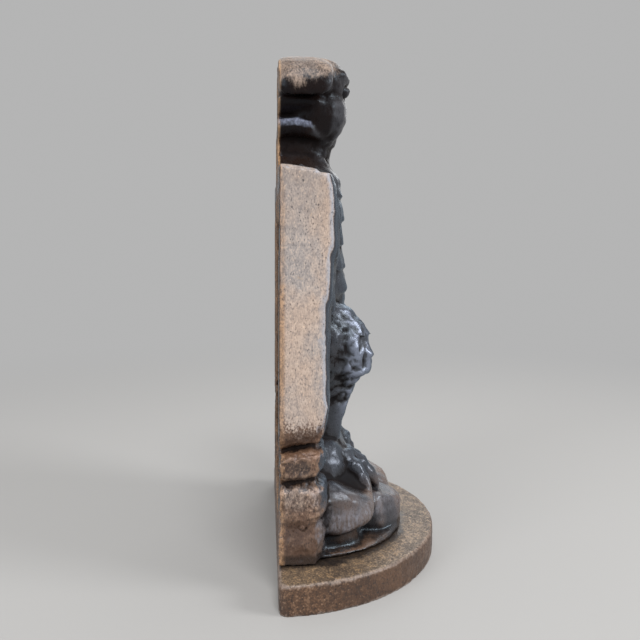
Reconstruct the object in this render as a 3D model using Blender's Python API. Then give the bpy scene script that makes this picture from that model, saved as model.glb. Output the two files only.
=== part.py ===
"""Cast iron eagle doorstop.

An eagle with hanging wings stands on a rocky mound. The figure is one hollow-backed casting, and two
slotted screws hold it from below on a half-round base plate.

Metres, +Z up. The front is towards -Y, the flat back faces +Y, and the eagle looks towards -X. Every
piece is modelled with the flat back in the plane Y = 0 and is then moved by CENTRE_Y, which puts the
origin under the middle of the object.
"""
import math

import bmesh
import bpy
from mathutils import Matrix, Vector, noise

# Gap between pieces that touch in the real object.
SEAT_GAP = 0.0003

# Base plate.
BASE_RADIUS = 0.060
BASE_THICKNESS = 0.010
BASE_CORNER_ROUND = 0.003
BASE_EDGE_ROUND = 0.0009
BASE_STEPS = 56

# Wings and the backing sheet that carries the relief.
WING_HALF_SPAN = 0.050
SHOULDER_HEIGHT = 0.1385
SHOULDER_ROUND = 0.006
SHOULDER_FALL = 0.0120
SHOULDER_SLOPE = 0.0026
COVERT_FOOT = 0.098
WING_TIP_HEIGHT = 0.0475
WING_TIP_RISE = 0.0030
WING_TIP_ROUND = 0.0070
BACKING_DEPTH = 0.0125
PRIMARY_DEPTH = 0.0155
COVERT_DEPTH = 0.0172
WING_SWELL = 0.0030
WING_INNER = 0.0210
FEATHER_WIDTH = 0.0092
FEATHER_LIFT = 0.0013
QUILL_RISE = 0.0005

# Body, neck and head.
BREAST_HALF_WIDTH = 0.0235
BREAST_DEPTH = 0.0236
BELLY_DEPTH = 0.0262
BELLY_HEIGHT = 0.096
VENT_HEIGHT = 0.062
BREAST_FEATHER_PITCH = 0.0082
BREAST_ROW_PITCH = 0.0085
NECK_HALF_WIDTH = 0.0125
NECK_DEPTH = 0.0178
NECK_RISE = 0.0045
NECK_FLARE = 0.0100
THROAT_RADIUS = 0.0032
HEAD_RISE = 0.0115
HEAD_HEIGHT = 0.0300
HEAD_DEPTH = 0.0245
HEAD_HALF_WIDTH = 0.0150
HEAD_BACK_ROUND = 0.0056
BEAK_REACH = 0.0245
BEAK_DEPTH = 0.0190
CHEEK_DEPTH = 0.0258
EYE_RADIUS = 0.0020

# Legs and talons.
LEG_SPREAD = 0.0160
THIGH_HALF_WIDTH = 0.0128
THIGH_DEPTH = 0.0346
THIGH_HEIGHT = 0.074
THIGH_TOP = 0.0945
SHANK_HALF_WIDTH = 0.0046
SHANK_DEPTH = 0.0228
ANKLE_HEIGHT = 0.0430
TOE_RADIUS = 0.0034
TOE_REACH = 0.0135
TOE_FALL = 0.62
LEFT_TOE_REACH = 0.0095
LEFT_TOE_FALL = 0.92
CLAW_LENGTH = 0.0055
TAIL_FEATHER_WIDTH = 0.0086

# Rock.
ROCK_TOP = 0.0480
ROCK_HALF_WIDTH = 0.0480
ROCK_REACH = 0.0475
LEDGE_FOOT = 0.0366
LEDGE_RISE = 0.0030
LEDGE_DEPTH = 0.0160
SIDE_BLOCK_DEPTH = 0.0168
UNDERCUT_HEIGHT = 0.0042

FOOT_FLANGE_HEIGHT = 0.0016
FOOT_FLANGE_ROUND = 0.0007

# Hollow back.
WALL = 0.0060
FRONT_SKIN = 0.0050
FLOOR_THICKNESS = 0.0080
POCKET_ROUND = 0.0030
MOUND_POCKET_DEPTH = 0.0200
MOUND_POCKET_HALF_WIDTH = 0.0270

# Base screws and the bosses that they enter.
SCREW_SPREAD = 0.0200
SCREW_SETBACK = 0.0165
SCREW_RADIUS = 0.0024
SCREW_LENGTH = 0.0200
SCREW_HEAD_RADIUS = 0.0046
SCREW_HEAD_HEIGHT = 0.0026
SCREW_HEAD_RECESS = 0.0006
SCREW_SLOT_WIDTH = 0.0012
SCREW_SLOT_DEPTH = 0.0011
SCREW_CLEARANCE = 0.0003
BOSS_RADIUS = 0.0058
BOSS_ROOF = 0.0030

# Levels and offsets that follow from the sizes above.
CENTRE_Y = BASE_RADIUS / 2
FOOT_LEVEL = BASE_THICKNESS + SEAT_GAP
NECK_HEIGHT = SHOULDER_HEIGHT + NECK_RISE
HEAD_FOOT = SHOULDER_HEIGHT + HEAD_RISE
TOTAL_HEIGHT = HEAD_FOOT + HEAD_HEIGHT
WING_TIP_FRONT = WING_TIP_HEIGHT + WING_TIP_RISE
SKIRT = 0.0020
SIDES = (-1, 1)
SECTION_SQUARENESS = 2.4
KEPT_FACES = 0.86


def clear_scene():
    for item in list(bpy.data.objects):
        bpy.data.objects.remove(item, do_unlink=True)


def iron(name, colour, roughness):
    material = bpy.data.materials.new(name)
    material.use_nodes = True
    shader = material.node_tree.nodes["Principled BSDF"]
    shader.inputs["Base Color"].default_value = (*colour, 1.0)
    shader.inputs["Metallic"].default_value = 0.85
    shader.inputs["Roughness"].default_value = roughness
    return material


def shape_from_bmesh(name, bm):
    """Makes a scene object of a closed bmesh, with its faces turned outwards."""
    bmesh.ops.recalc_face_normals(bm, faces=bm.faces)
    mesh = bpy.data.meshes.new(name)
    bm.to_mesh(mesh)
    bm.free()
    shape = bpy.data.objects.new(name, mesh)
    bpy.context.collection.objects.link(shape)
    return shape


def blend(rows, height):
    """Reads a table of (height, value, value...) at a height, smoothly between its rows."""
    if height >= rows[0][0]:
        return rows[0][1:]
    for upper, lower in zip(rows, rows[1:]):
        if height >= lower[0]:
            share = (height - lower[0]) / (upper[0] - lower[0])
            share = share * share * (3 - 2 * share)
            return tuple(low + (high - low) * share for high, low in zip(upper[1:], lower[1:]))
    return rows[-1][1:]


def loft(name, rings):
    """Skins closed rings of equally many points, and caps both ends."""
    bm = bmesh.new()
    loops = [[bm.verts.new(point) for point in ring] for ring in rings]
    count = len(loops[0])
    for first, second in zip(loops, loops[1:]):
        for index in range(count):
            after = (index + 1) % count
            bm.faces.new((first[index], first[after], second[after], second[index]))
    bm.faces.new(loops[0])
    bm.faces.new(loops[-1])
    return shape_from_bmesh(name, bm)


def plate(name, outline, back, front, rounding=0.0, steps=2):
    """Extrudes an outline of (x, z) points along Y and rounds its front edge."""
    bm = bmesh.new()
    near = [bm.verts.new((x, -front, z)) for x, z in outline]
    far = [bm.verts.new((x, -back, z)) for x, z in outline]
    bm.faces.new(near)
    bm.faces.new(far)
    count = len(outline)
    for index in range(count):
        after = (index + 1) % count
        bm.faces.new((near[index], near[after], far[after], far[index]))
    bmesh.ops.recalc_face_normals(bm, faces=bm.faces)
    if rounding > 0:
        rim = [edge for edge in bm.edges if all(vertex in near for vertex in edge.verts)]
        bmesh.ops.bevel(bm, geom=rim, offset=rounding, segments=steps, profile=0.5,
                        affect="EDGES", clamp_overlap=True)
    return shape_from_bmesh(name, bm)


def pillow(name, outline, levels):
    """A body whose outline of (x, z) points shrinks towards its middle at each (depth, scale) level."""
    count = len(outline)
    middle_x = sum(x for x, z in outline) / count
    middle_z = sum(z for x, z in outline) / count
    rings = []
    for depth, scale in levels:
        rings.append([(middle_x + (x - middle_x) * scale, -depth, middle_z + (z - middle_z) * scale)
                      for x, z in outline])
    return loft(name, rings)


def dome(name, centre, radii, turn=0.0, segments=12, rings=7):
    """An ellipsoid, turned in the XZ plane."""
    bm = bmesh.new()
    bmesh.ops.create_uvsphere(bm, u_segments=segments, v_segments=rings, radius=1.0)
    place = Matrix.Translation(centre) @ Matrix.Rotation(turn, 4, "Y") @ Matrix.Diagonal((*radii, 1))
    bmesh.ops.transform(bm, matrix=place, verts=bm.verts)
    return shape_from_bmesh(name, bm)


def boulder(name, low, high, seed, squareness=3.4, flats=(), rise=0.0, lumps=0.05):
    """A worn stone that fills a box: a squared ball with soft lumps and rubbed flats.

    flats holds (direction, share of the half size) of the faces that are rubbed flat, and rise
    lifts the front of the stone over its back.
    """
    bm = bmesh.new()
    bmesh.ops.create_icosphere(bm, subdivisions=3, radius=1.0)
    centre = (Vector(low) + Vector(high)) / 2
    half = (Vector(high) - Vector(low)) / 2
    shift = Vector((seed * 3.1, seed * 1.7, seed * 0.9))
    for vertex in bm.verts:
        direction = vertex.co.normalized()
        power = sum(abs(value) ** squareness for value in direction) ** (1 / squareness)
        reach = (1 - lumps * (1 + noise.noise(direction * 1.7 + shift))) / power
        place = direction * reach
        for facing, share in flats:
            facing = Vector(facing).normalized()
            over = place.dot(facing) - share
            if over > 0:
                place -= facing * over * 0.9
        vertex.co = [centre[axis] + half[axis] * place[axis] for axis in range(3)]
        vertex.co.z -= rise * (vertex.co.y - high[1]) / (high[1] - low[1])
    return shape_from_bmesh(name, bm)


def limb(name, path, radii, sides=8):
    """A tapering tube through a few points, with a round section square to its way."""
    points = [Vector(point) for point in path]
    rings = []
    for index, point in enumerate(points):
        before = points[max(index - 1, 0)]
        after = points[min(index + 1, len(points) - 1)]
        way = (after - before).normalized()
        across = way.cross(Vector((1, 0.01, 0.02))).normalized()
        up = way.cross(across)
        ring = []
        for step in range(sides):
            angle = 2 * math.pi * step / sides
            ring.append(point + radii[index] * (math.cos(angle) * across + math.sin(angle) * up))
        rings.append(ring)
    return loft(name, rings)


def column_depth(rows, centre, x, height):
    """How far a rounded column stands out from the back plane at one place."""
    half_width, depth = blend(rows, height)
    share = min(abs(x - centre) / half_width, 1.0)
    return depth * (1 - share ** SECTION_SQUARENESS) ** (1 / SECTION_SQUARENESS)


def column(name, rows, centre, steps=10):
    """A column of rounded sections that rises from the back plane, read from a table of rows."""
    round_share = 2 / SECTION_SQUARENESS
    rings = []
    for height, half_width, depth in rows:
        ring = [(centre + half_width, SKIRT, height)]
        for step in range(steps + 1):
            angle = math.pi * step / steps
            cosine = math.cos(angle)
            x = centre + half_width * math.copysign(abs(cosine) ** round_share, cosine)
            ring.append((x, -depth * math.sin(angle) ** round_share, height))
        ring.append((centre - half_width, SKIRT, height))
        rings.append(ring)
    return loft(name, rings)


def feather(name, root, tip, width, surface, lift, root_lift=0.0, tilt=0.0, point=0.2):
    """A feather blade that follows a surface, with a raised tip, a quill ridge and its own edge.

    root and tip are (x, z) places, surface(x, z) gives the depth under the blade, tilt raises one
    long edge over the other, and point is how broad the tip is left.
    """
    start = Vector(root)
    run = Vector(tip) - start
    side = Vector((-run.y, run.x)).normalized()
    stations = ((0.0, 0.66), (0.45, 0.98), (0.78, 0.90), (0.94, 0.58), (1.0, point))
    behind = BACKING_DEPTH * 0.55
    rings = []
    for share, breadth in stations:
        middle = start + run * share
        raised = root_lift + (lift - root_lift) * share
        ring = []
        for across, rise in ((-1, 0.0), (0, QUILL_RISE), (1, 0.0)):
            place = middle + side * (across * breadth * width / 2)
            depth = surface(place.x, place.y) + raised + rise + tilt * across
            ring.append((place.x, -max(depth, behind + FEATHER_LIFT), place.y))
        ring.append((ring[2][0], -behind, ring[2][2]))
        ring.append((ring[0][0], -behind, ring[0][2]))
        rings.append(ring)
    return loft(name, rings)


def applied(name, base, used=()):
    """Returns a new object with base's modifiers applied, and removes base and what they used."""
    graph = bpy.context.evaluated_depsgraph_get()
    mesh = bpy.data.meshes.new_from_object(base.evaluated_get(graph))
    result = bpy.data.objects.new(name, mesh)
    bpy.context.collection.objects.link(result)
    for item in (base, *used):
        bpy.data.objects.remove(item, do_unlink=True)
    return result


def united(name, base, others):
    """Joins many overlapping closed shapes into one body with the exact solver."""
    group = bpy.data.collections.new(name + "_shapes")
    for other in others:
        group.objects.link(other)
    join = base.modifiers.new("Unite", "BOOLEAN")
    join.operation = "UNION"
    join.solver = "EXACT"
    join.operand_type = "COLLECTION"
    join.collection = group
    result = applied(name, base, others)
    bpy.data.collections.remove(group)
    return result


def pour_full(body):
    """Fills the small voids that overlapping shapes enclose: only the outer skin is kept."""
    bm = bmesh.new()
    bm.from_mesh(body.data)
    skins = []
    waiting = set(bm.faces)
    while waiting:
        first = waiting.pop()
        skin = [first]
        open_faces = [first]
        while open_faces:
            face = open_faces.pop()
            near = {other for edge in face.edges for other in edge.link_faces} & waiting
            waiting -= near
            skin += near
            open_faces += near
        skins.append(skin)
    outer = max(skins, key=len)
    for skin in skins:
        if skin is not outer:
            bmesh.ops.delete(bm, geom=skin, context="FACES")
    bm.to_mesh(body.data)
    bm.free()
    return body


def worked(name, base, tools, operation, solver="EXACT"):
    """Cuts, trims or joins a body with its tools, one after the other."""
    for tool in tools:
        step = base.modifiers.new(tool.name, "BOOLEAN")
        step.operation = operation
        step.solver = solver
        step.object = tool
    return applied(name, base, tools)


def block(name, low, high):
    bm = bmesh.new()
    bmesh.ops.create_cube(bm, size=1.0)
    for vertex in bm.verts:
        for axis in range(3):
            vertex.co[axis] = low[axis] if vertex.co[axis] < 0 else high[axis]
    return shape_from_bmesh(name, bm)


def cylinder(name, x, y, low, high, radius_low, radius_high, segments=24):
    bm = bmesh.new()
    bmesh.ops.create_cone(bm, cap_ends=True, segments=segments, radius1=radius_low,
                          radius2=radius_high, depth=high - low)
    bmesh.ops.translate(bm, vec=(x, y, (low + high) / 2), verts=bm.verts)
    return shape_from_bmesh(name, bm)


def arc(centre_x, centre_z, radius, start, end, steps):
    """Points (x, z) on an arc, with angles in degrees."""
    points = []
    for step in range(steps + 1):
        angle = math.radians(start + (end - start) * step / steps)
        points.append((centre_x + radius * math.cos(angle), centre_z + radius * math.sin(angle)))
    return points


def base_outline():
    """The half round seen from above, with its two back corners rounded, as (x, y) points."""
    points = []
    inner = BASE_RADIUS - BASE_CORNER_ROUND
    swing = math.degrees(math.asin(BASE_CORNER_ROUND / inner))
    reach = inner * math.cos(math.radians(swing))
    points += arc(reach, -BASE_CORNER_ROUND, BASE_CORNER_ROUND, 90, -swing, 5)
    points += arc(0, 0, BASE_RADIUS, -swing, -180 + swing, BASE_STEPS)[1:-1]
    points += arc(-reach, -BASE_CORNER_ROUND, BASE_CORNER_ROUND, 180 + swing, 90, 5)
    return points


def screw_places():
    return [(side * SCREW_SPREAD, -SCREW_SETBACK) for side in SIDES]


def make_base_plate():
    bm = bmesh.new()
    ring = [bm.verts.new((x, y, 0)) for x, y in base_outline()]
    floor = bm.faces.new(ring)
    grown = bmesh.ops.extrude_face_region(bm, geom=[floor])
    risen = [item for item in grown["geom"] if isinstance(item, bmesh.types.BMVert)]
    bmesh.ops.translate(bm, vec=(0, 0, BASE_THICKNESS), verts=risen)
    bmesh.ops.recalc_face_normals(bm, faces=bm.faces)
    rims = []
    for edge in bm.edges:
        if all(vertex.co.z > BASE_THICKNESS / 2 for vertex in edge.verts):
            rims.append(edge)
    bmesh.ops.bevel(bm, geom=rims, offset=BASE_EDGE_ROUND, segments=2, profile=0.5, affect="EDGES")
    slab = shape_from_bmesh("base_slab", bm)
    head_radius = SCREW_HEAD_RADIUS + SCREW_CLEARANCE
    shank_radius = SCREW_RADIUS + SCREW_CLEARANCE
    cutters = []
    for x, y in screw_places():
        seat = SCREW_HEAD_RECESS + SCREW_HEAD_HEIGHT
        cutters.append(cylinder("shank_hole", x, y, -SKIRT, BASE_THICKNESS + SKIRT,
                                shank_radius, shank_radius))
        cutters.append(cylinder("head_recess", x, y, -SKIRT, SCREW_HEAD_RECESS,
                                head_radius, head_radius))
        cutters.append(cylinder("countersink", x, y, SCREW_HEAD_RECESS, seat,
                                head_radius, shank_radius))
    return worked("base_plate", slab, cutters, "DIFFERENCE")


def make_screw(name, x, y):
    """A slotted countersunk screw, turned about its axis and cut with its slot."""
    seat = SCREW_HEAD_RECESS + SCREW_HEAD_HEIGHT
    tip = SCREW_HEAD_RECESS + SCREW_LENGTH
    profile = ((0, SCREW_HEAD_RECESS), (SCREW_HEAD_RADIUS, SCREW_HEAD_RECESS),
               (SCREW_HEAD_RADIUS, SCREW_HEAD_RECESS + SCREW_CLEARANCE), (SCREW_RADIUS, seat),
               (SCREW_RADIUS, tip - SCREW_RADIUS / 2), (SCREW_RADIUS / 2, tip), (0, tip))
    bm = bmesh.new()
    line = [bm.verts.new((x + radius, y, height)) for radius, height in profile]
    edges = [bm.edges.new(pair) for pair in zip(line, line[1:])]
    bmesh.ops.spin(bm, geom=line + edges, cent=(x, y, 0), axis=(0, 0, 1), angle=math.tau,
                   steps=24, use_merge=True)
    bmesh.ops.remove_doubles(bm, verts=bm.verts, dist=1e-6)
    turned = shape_from_bmesh("turned_screw", bm)
    reach = SCREW_HEAD_RADIUS + SKIRT
    slot = block("slot", (x - reach, y - SCREW_SLOT_WIDTH / 2, -SKIRT),
                 (x + reach, y + SCREW_SLOT_WIDTH / 2, SCREW_HEAD_RECESS + SCREW_SLOT_DEPTH))
    return worked(name, turned, [slot], "DIFFERENCE")


def mirrored(points):
    """Closes an outline given for the +X side by its mirror image."""
    return points + [(-x, z) for x, z in reversed(points)]


def shoulder_top(x):
    """Height of the wing's top edge: level at the outer corner, then falling to the neck."""
    outer = WING_HALF_SPAN - 2.0 * SHOULDER_ROUND
    share = (outer - abs(x)) / (outer - NECK_HALF_WIDTH)
    share = min(max(share, 0.0), 1.0)
    return SHOULDER_HEIGHT - SHOULDER_FALL * (1 - math.cos(math.pi * share)) / 2


def backing_outline():
    """The figure's outline below the neck, seen from behind."""
    span = WING_HALF_SPAN + SKIRT
    notch = ROCK_HALF_WIDTH - WALL * 0.4
    rock_side = ROCK_HALF_WIDTH - SKIRT / 2
    points = [(rock_side, FOOT_LEVEL - SKIRT), (rock_side, LEDGE_FOOT), (notch, LEDGE_FOOT + SKIRT),
              (notch, WING_TIP_HEIGHT - SKIRT / 2)]
    points += arc(WING_HALF_SPAN - WING_TIP_ROUND, WING_TIP_HEIGHT + WING_TIP_ROUND,
                  WING_TIP_ROUND, -80, -10, 4)
    points.append((span, WING_TIP_HEIGHT + 1.4 * WING_TIP_ROUND))
    points.append((span, SHOULDER_HEIGHT - SHOULDER_ROUND))
    points += arc(WING_HALF_SPAN - SHOULDER_ROUND, SHOULDER_HEIGHT - SHOULDER_ROUND,
                  SHOULDER_ROUND, 15, 90, 4)
    for step in range(1, 7):
        x = WING_HALF_SPAN - 2 * SHOULDER_ROUND
        x += (NECK_HALF_WIDTH - x) * step / 6
        points.append((x, shoulder_top(x)))
    return mirrored(points)


def make_backing():
    """The sheet behind the relief; towards the front its top falls and its wing tips rise."""
    outline = backing_outline()
    fall = SHOULDER_SLOPE * BACKING_DEPTH / COVERT_DEPTH
    near = []
    for x, z in outline:
        if z > COVERT_FOOT:
            z -= fall
        elif z >= WING_TIP_HEIGHT:
            z += WING_TIP_RISE
        near.append((x, -BACKING_DEPTH, z))
    far = [(x, SKIRT, z) for x, z in outline]
    return loft("backing", [near, far])


def wing_rows():
    """Depth of the wing's front and share of its swell by height, before its feathers are laid on."""
    under = FEATHER_LIFT
    return (
        (SHOULDER_HEIGHT, COVERT_DEPTH - SHOULDER_ROUND, 0.0),
        (SHOULDER_HEIGHT - SHOULDER_ROUND * 0.25, COVERT_DEPTH - SHOULDER_ROUND * 0.4, 0.3),
        (SHOULDER_HEIGHT - SHOULDER_ROUND * 0.8, COVERT_DEPTH - under, 0.8),
        (COVERT_FOOT + SHOULDER_ROUND * 3, COVERT_DEPTH - under, 1.0),
        (COVERT_FOOT, PRIMARY_DEPTH - under, 0.8),
        (WING_TIP_FRONT + WING_TIP_ROUND, PRIMARY_DEPTH - under, 0.3),
        (WING_TIP_FRONT, BACKING_DEPTH - under, 0.0),
    )


def wing_depth(x, height):
    """How far the wing's front stands out from the back plane at one place."""
    level = COVERT_FOOT + SHOULDER_ROUND
    share = min(max((height - level) / (shoulder_top(x) - level), 0.0), 1.0)
    height += (SHOULDER_HEIGHT - shoulder_top(x)) * share
    depth, swell = blend(wing_rows(), height)
    share = (abs(x) - NECK_HALF_WIDTH) / (WING_HALF_SPAN - NECK_HALF_WIDTH)
    share = min(max(share, 0.0), 1.0)
    return depth + WING_SWELL * swell * math.sin(math.pi * share)


def make_wing(side):
    """One wing: its body, long primaries, and three shorter rows laid over them."""
    inner, outer = NECK_HALF_WIDTH, WING_HALF_SPAN + SKIRT
    foot = WING_TIP_FRONT + WING_TIP_ROUND
    levels = (0.0, 0.017, 0.045, 0.12, 0.24, 0.38, 0.50, 0.62, 0.80, 1.0)
    rings = []
    for level in levels:
        ring = []
        for step in range(6):
            x = inner + (outer - inner) * step / 5
            top = shoulder_top(x) - SHOULDER_SLOPE
            height = top + (foot - top) * level
            ring.append((side * x, -wing_depth(x, height), height))
        for x in (outer, inner):
            top = shoulder_top(x) - SKIRT / 4
            ring.append((side * x, SKIRT, top + (foot - top) * level))
        rings.append(ring)
    shapes = [loft("wing_body", rings)]
    reach = SHOULDER_HEIGHT - COVERT_FOOT
    # feathers in the row, root height, height of the inner and the outer tip, lift
    rows = (
        (6, COVERT_FOOT + reach * 0.15, COVERT_FOOT - reach * 0.78, WING_TIP_FRONT + SEAT_GAP, 1.0),
        (6, COVERT_FOOT + reach * 0.42, COVERT_FOOT - reach * 0.26, COVERT_FOOT - reach * 0.06, 1.5),
        (6, COVERT_FOOT + reach * 0.66, COVERT_FOOT + reach * 0.06, COVERT_FOOT + reach * 0.32, 1.1),
        (6, None, COVERT_FOOT + reach * 0.34, COVERT_FOOT + reach * 0.58, 0.9),
    )
    for level, (count, root, inner_tip, outer_tip, lift) in enumerate(rows):
        first = WING_INNER + SKIRT * 0.6 * level
        last = WING_HALF_SPAN - FEATHER_WIDTH * (0.42 - 0.05 * level)
        for index in range(count):
            share = index / (count - 1)
            tip_x = first + (last - first) * share
            tip_z = inner_tip + (outer_tip - inner_tip) * share ** 0.8
            root_x = tip_x + FEATHER_WIDTH * 0.3 * (0.45 - share)
            root_z = root or shoulder_top(root_x) - SHOULDER_ROUND
            shapes.append(feather("wing_feather", (side * root_x, root_z), (side * tip_x, tip_z),
                                  FEATHER_WIDTH * (1 - 0.04 * level), wing_depth,
                                  FEATHER_LIFT * lift, 0.0, side * FEATHER_LIFT * 0.3, 0.34))
    return shapes


def breast_rows():
    """Half width and depth of the body, from the neck down to the vent."""
    breast = NECK_HEIGHT - BELLY_HEIGHT
    under = BELLY_HEIGHT - VENT_HEIGHT
    return (
        (NECK_HEIGHT + breast * 0.04, NECK_HALF_WIDTH, NECK_DEPTH * 0.94),
        (NECK_HEIGHT - breast * 0.13, BREAST_HALF_WIDTH * 0.84, BREAST_DEPTH * 0.94),
        (NECK_HEIGHT - breast * 0.34, BREAST_HALF_WIDTH, BREAST_DEPTH),
        (NECK_HEIGHT - breast * 0.64, BREAST_HALF_WIDTH, BREAST_DEPTH),
        (BELLY_HEIGHT, BREAST_HALF_WIDTH * 0.90, BELLY_DEPTH * 0.96),
        (BELLY_HEIGHT - under * 0.47, BREAST_HALF_WIDTH * 0.66, BELLY_DEPTH * 0.86),
        (VENT_HEIGHT, BREAST_HALF_WIDTH * 0.40, BELLY_DEPTH * 0.58),
    )


def breast_depth(x, height):
    return column_depth(breast_rows(), 0.0, x, height)


def make_breast():
    """The body, with rows of short feathers like roof tiles."""
    shapes = [column("breast", breast_rows(), 0.0)]
    top = NECK_HEIGHT - BREAST_ROW_PITCH * 1.5
    for row in range(6):
        tip_height = top - BREAST_ROW_PITCH * row
        number = (5, 4, 5, 4, 3, 2)[row]
        for index in range(number):
            x = (index - (number - 1) / 2) * BREAST_FEATHER_PITCH
            root = (x * 0.92, tip_height + BREAST_ROW_PITCH * 1.3)
            shapes.append(feather("breast_feather", root, (x, tip_height), BREAST_FEATHER_PITCH * 1.08,
                                  breast_depth, FEATHER_LIFT * 0.9, -FEATHER_LIFT * 0.4, 0.0, 0.42))
    return shapes


def neck_rows():
    """Half width and depth of the neck, from inside the head down to the breast."""
    return (
        (HEAD_FOOT + HEAD_HEIGHT * 0.4, HEAD_HALF_WIDTH * 0.76, HEAD_DEPTH * 0.90),
        (HEAD_FOOT + HEAD_HEIGHT * 0.1, HEAD_HALF_WIDTH * 0.84, NECK_DEPTH * 1.18),
        (NECK_HEIGHT, NECK_HALF_WIDTH, NECK_DEPTH),
        (NECK_HEIGHT - NECK_FLARE, NECK_HALF_WIDTH * 1.2, NECK_DEPTH * 1.02),
    )


def neck_depth(x, height):
    return column_depth(neck_rows(), 0.0, x, height)


def make_neck():
    """The neck, its rows of hanging hackle feathers and the roll of feathers at the throat."""
    shapes = [column("neck", neck_rows(), 0.0)]

    def depth(x, height):
        return max(neck_depth(x, height), breast_depth(x, height))

    width = NECK_HALF_WIDTH * 0.39
    # feathers, how far the tips hang down as a share of the neck's flare, spread of the row
    for number, drop, spread in ((4, -0.55, 0.90), (5, 0.15, 0.80), (6, 0.85, 0.80)):
        tip_height = NECK_HEIGHT - drop * NECK_FLARE
        for index in range(number):
            x = (index - (number - 1) / 2) * width * spread
            root = (x * 0.85, tip_height + width * 2.4)
            shapes.append(feather("hackle", root, (x, tip_height), width * 1.2 * spread, depth,
                                  FEATHER_LIFT, -FEATHER_LIFT * 0.3, 0.0, 0.18))
    start = Vector((-NECK_HALF_WIDTH, 0.0, HEAD_FOOT + THROAT_RADIUS))
    path = []
    radii = []
    # place along the neck's depth, then shift to the side, rise and thickness in throat radii
    for share, across, rise, size in ((-0.15, 0.0, 0.0, 1.0), (0.30, -0.38, 0.19, 1.05),
                                      (0.62, -0.19, 0.0, 0.95), (0.90, 0.94, -0.56, 0.50)):
        shift = Vector((across * THROAT_RADIUS, -share * NECK_DEPTH, rise * THROAT_RADIUS))
        path.append(start + shift)
        radii.append(THROAT_RADIUS * size)
    shapes.append(limb("throat", path, radii))
    return shapes


def head_point(across, up):
    """A place on the head: across runs from -1 at the face to 1 at the nape, up from foot to crown."""
    return (across * HEAD_HALF_WIDTH, HEAD_FOOT + up * (TOTAL_HEIGHT - HEAD_FOOT))


def beak_point(out, up):
    """A place on the beak: out runs from 0 inside the face to 1 at the furthest reach."""
    face = 0.75 * HEAD_HALF_WIDTH
    return (-face - out * (BEAK_REACH - face), HEAD_FOOT + up * (TOTAL_HEIGHT - HEAD_FOOT))


def make_head():
    """The head in profile, with its beak towards -X."""
    profile = (
        (-0.66, -0.06), (-0.77, 0.20), (-0.80, 0.42), (-0.94, 0.55), (-1.00, 0.70), (-0.90, 0.85),
        (-0.62, 0.955), (-0.25, 0.996), (0.13, 1.00), (0.50, 0.965), (0.80, 0.88), (0.98, 0.74),
        (1.03, 0.56), (0.99, 0.34), (0.92, 0.12), (0.80, -0.06),
    )
    skull = [head_point(across, up) for across, up in profile]
    turn = HEAD_BACK_ROUND
    levels = ((turn * 0.06, 0.76), (turn * 0.22, 0.87), (turn * 0.50, 0.95), (turn, 1.0),
              (HEAD_DEPTH * 0.52, 1.0),
              (HEAD_DEPTH * 0.70, 0.96), (HEAD_DEPTH * 0.84, 0.88), (HEAD_DEPTH * 0.94, 0.74),
              (HEAD_DEPTH, 0.50))
    shapes = [pillow("skull", skull, levels)]
    bill = (
        (-0.10, 0.95), (0.30, 0.90), (0.60, 0.83), (0.84, 0.735), (0.98, 0.62), (0.99, 0.50),
        (0.90, 0.40), (0.84, 0.485), (0.66, 0.535), (0.32, 0.515), (-0.10, 0.50),
    )
    bill = [beak_point(out, up) for out, up in bill]
    levels = ((turn * 0.06, 0.80), (turn * 0.30, 0.93), (turn * 0.80, 1.0), (BEAK_DEPTH * 0.62, 1.0),
              (BEAK_DEPTH * 0.82, 0.92),
              (BEAK_DEPTH * 0.95, 0.77), (BEAK_DEPTH, 0.55))
    shapes.append(pillow("beak", bill, levels))
    jaw = ((-0.25, 0.47), (0.24, 0.475), (0.50, 0.45), (0.42, 0.36), (0.14, 0.29), (-0.25, 0.27))
    jaw = [beak_point(out, up) for out, up in jaw]
    levels = ((-SKIRT, 0.96), (BEAK_DEPTH * 0.55, 1.0), (BEAK_DEPTH * 0.75, 0.90), (BEAK_DEPTH * 0.82, 0.65))
    shapes.append(pillow("jaw", jaw, levels))
    cheek_x, cheek_z = head_point(-0.30, 0.33)
    cheek = (HEAD_HALF_WIDTH * 0.78, CHEEK_DEPTH * 0.47, HEAD_HALF_WIDTH * 0.74)
    cheek_y = CHEEK_DEPTH - cheek[1]
    shapes.append(dome("cheek", (cheek_x, -cheek_y, cheek_z), cheek))
    crown_x, crown_z = head_point(0.24, 0.74)
    crown = (HEAD_HALF_WIDTH * 0.74, CHEEK_DEPTH * 0.46, HEAD_HALF_WIDTH * 0.43)
    shapes.append(dome("crown", (crown_x, crown[1] - HEAD_DEPTH * 1.02, crown_z), crown, 0.12))
    brow = (head_point(-0.90, 0.76), head_point(-0.68, 0.75), head_point(-0.32, 0.715),
            head_point(0.10, 0.66))
    rises = (HEAD_DEPTH * 0.66, HEAD_DEPTH * 0.92, HEAD_DEPTH * 1.00, HEAD_DEPTH * 0.94)
    path = [(x, -depth, z) for (x, z), depth in zip(brow, rises)]
    shapes.append(limb("brow", path, [EYE_RADIUS * size for size in (0.6, 1.0, 1.05, 0.5)]))
    eye_x, eye_z = head_point(-0.46, 0.60)
    shapes.append(dome("eye", (eye_x, -HEAD_DEPTH * 0.96, eye_z), [EYE_RADIUS] * 3, 0.0, 10, 6))
    length = HEAD_HALF_WIDTH * 0.8
    for across, up, depth in ((0.62, 0.40, 0.97), (0.98, 0.56, 0.80), (1.14, 0.34, 0.66),
                              (0.80, 0.14, 0.92), (1.12, 0.04, 0.60)):
        x, z = head_point(across, up)
        root = (x - length * 0.34, z + length * 0.94)
        shapes.append(feather("nape_feather", root, (x, z), length * 0.52,
                              lambda place, level: HEAD_DEPTH * depth, 0.0, -FEATHER_LIFT, 0.0, 0.12))
    return shapes


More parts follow.
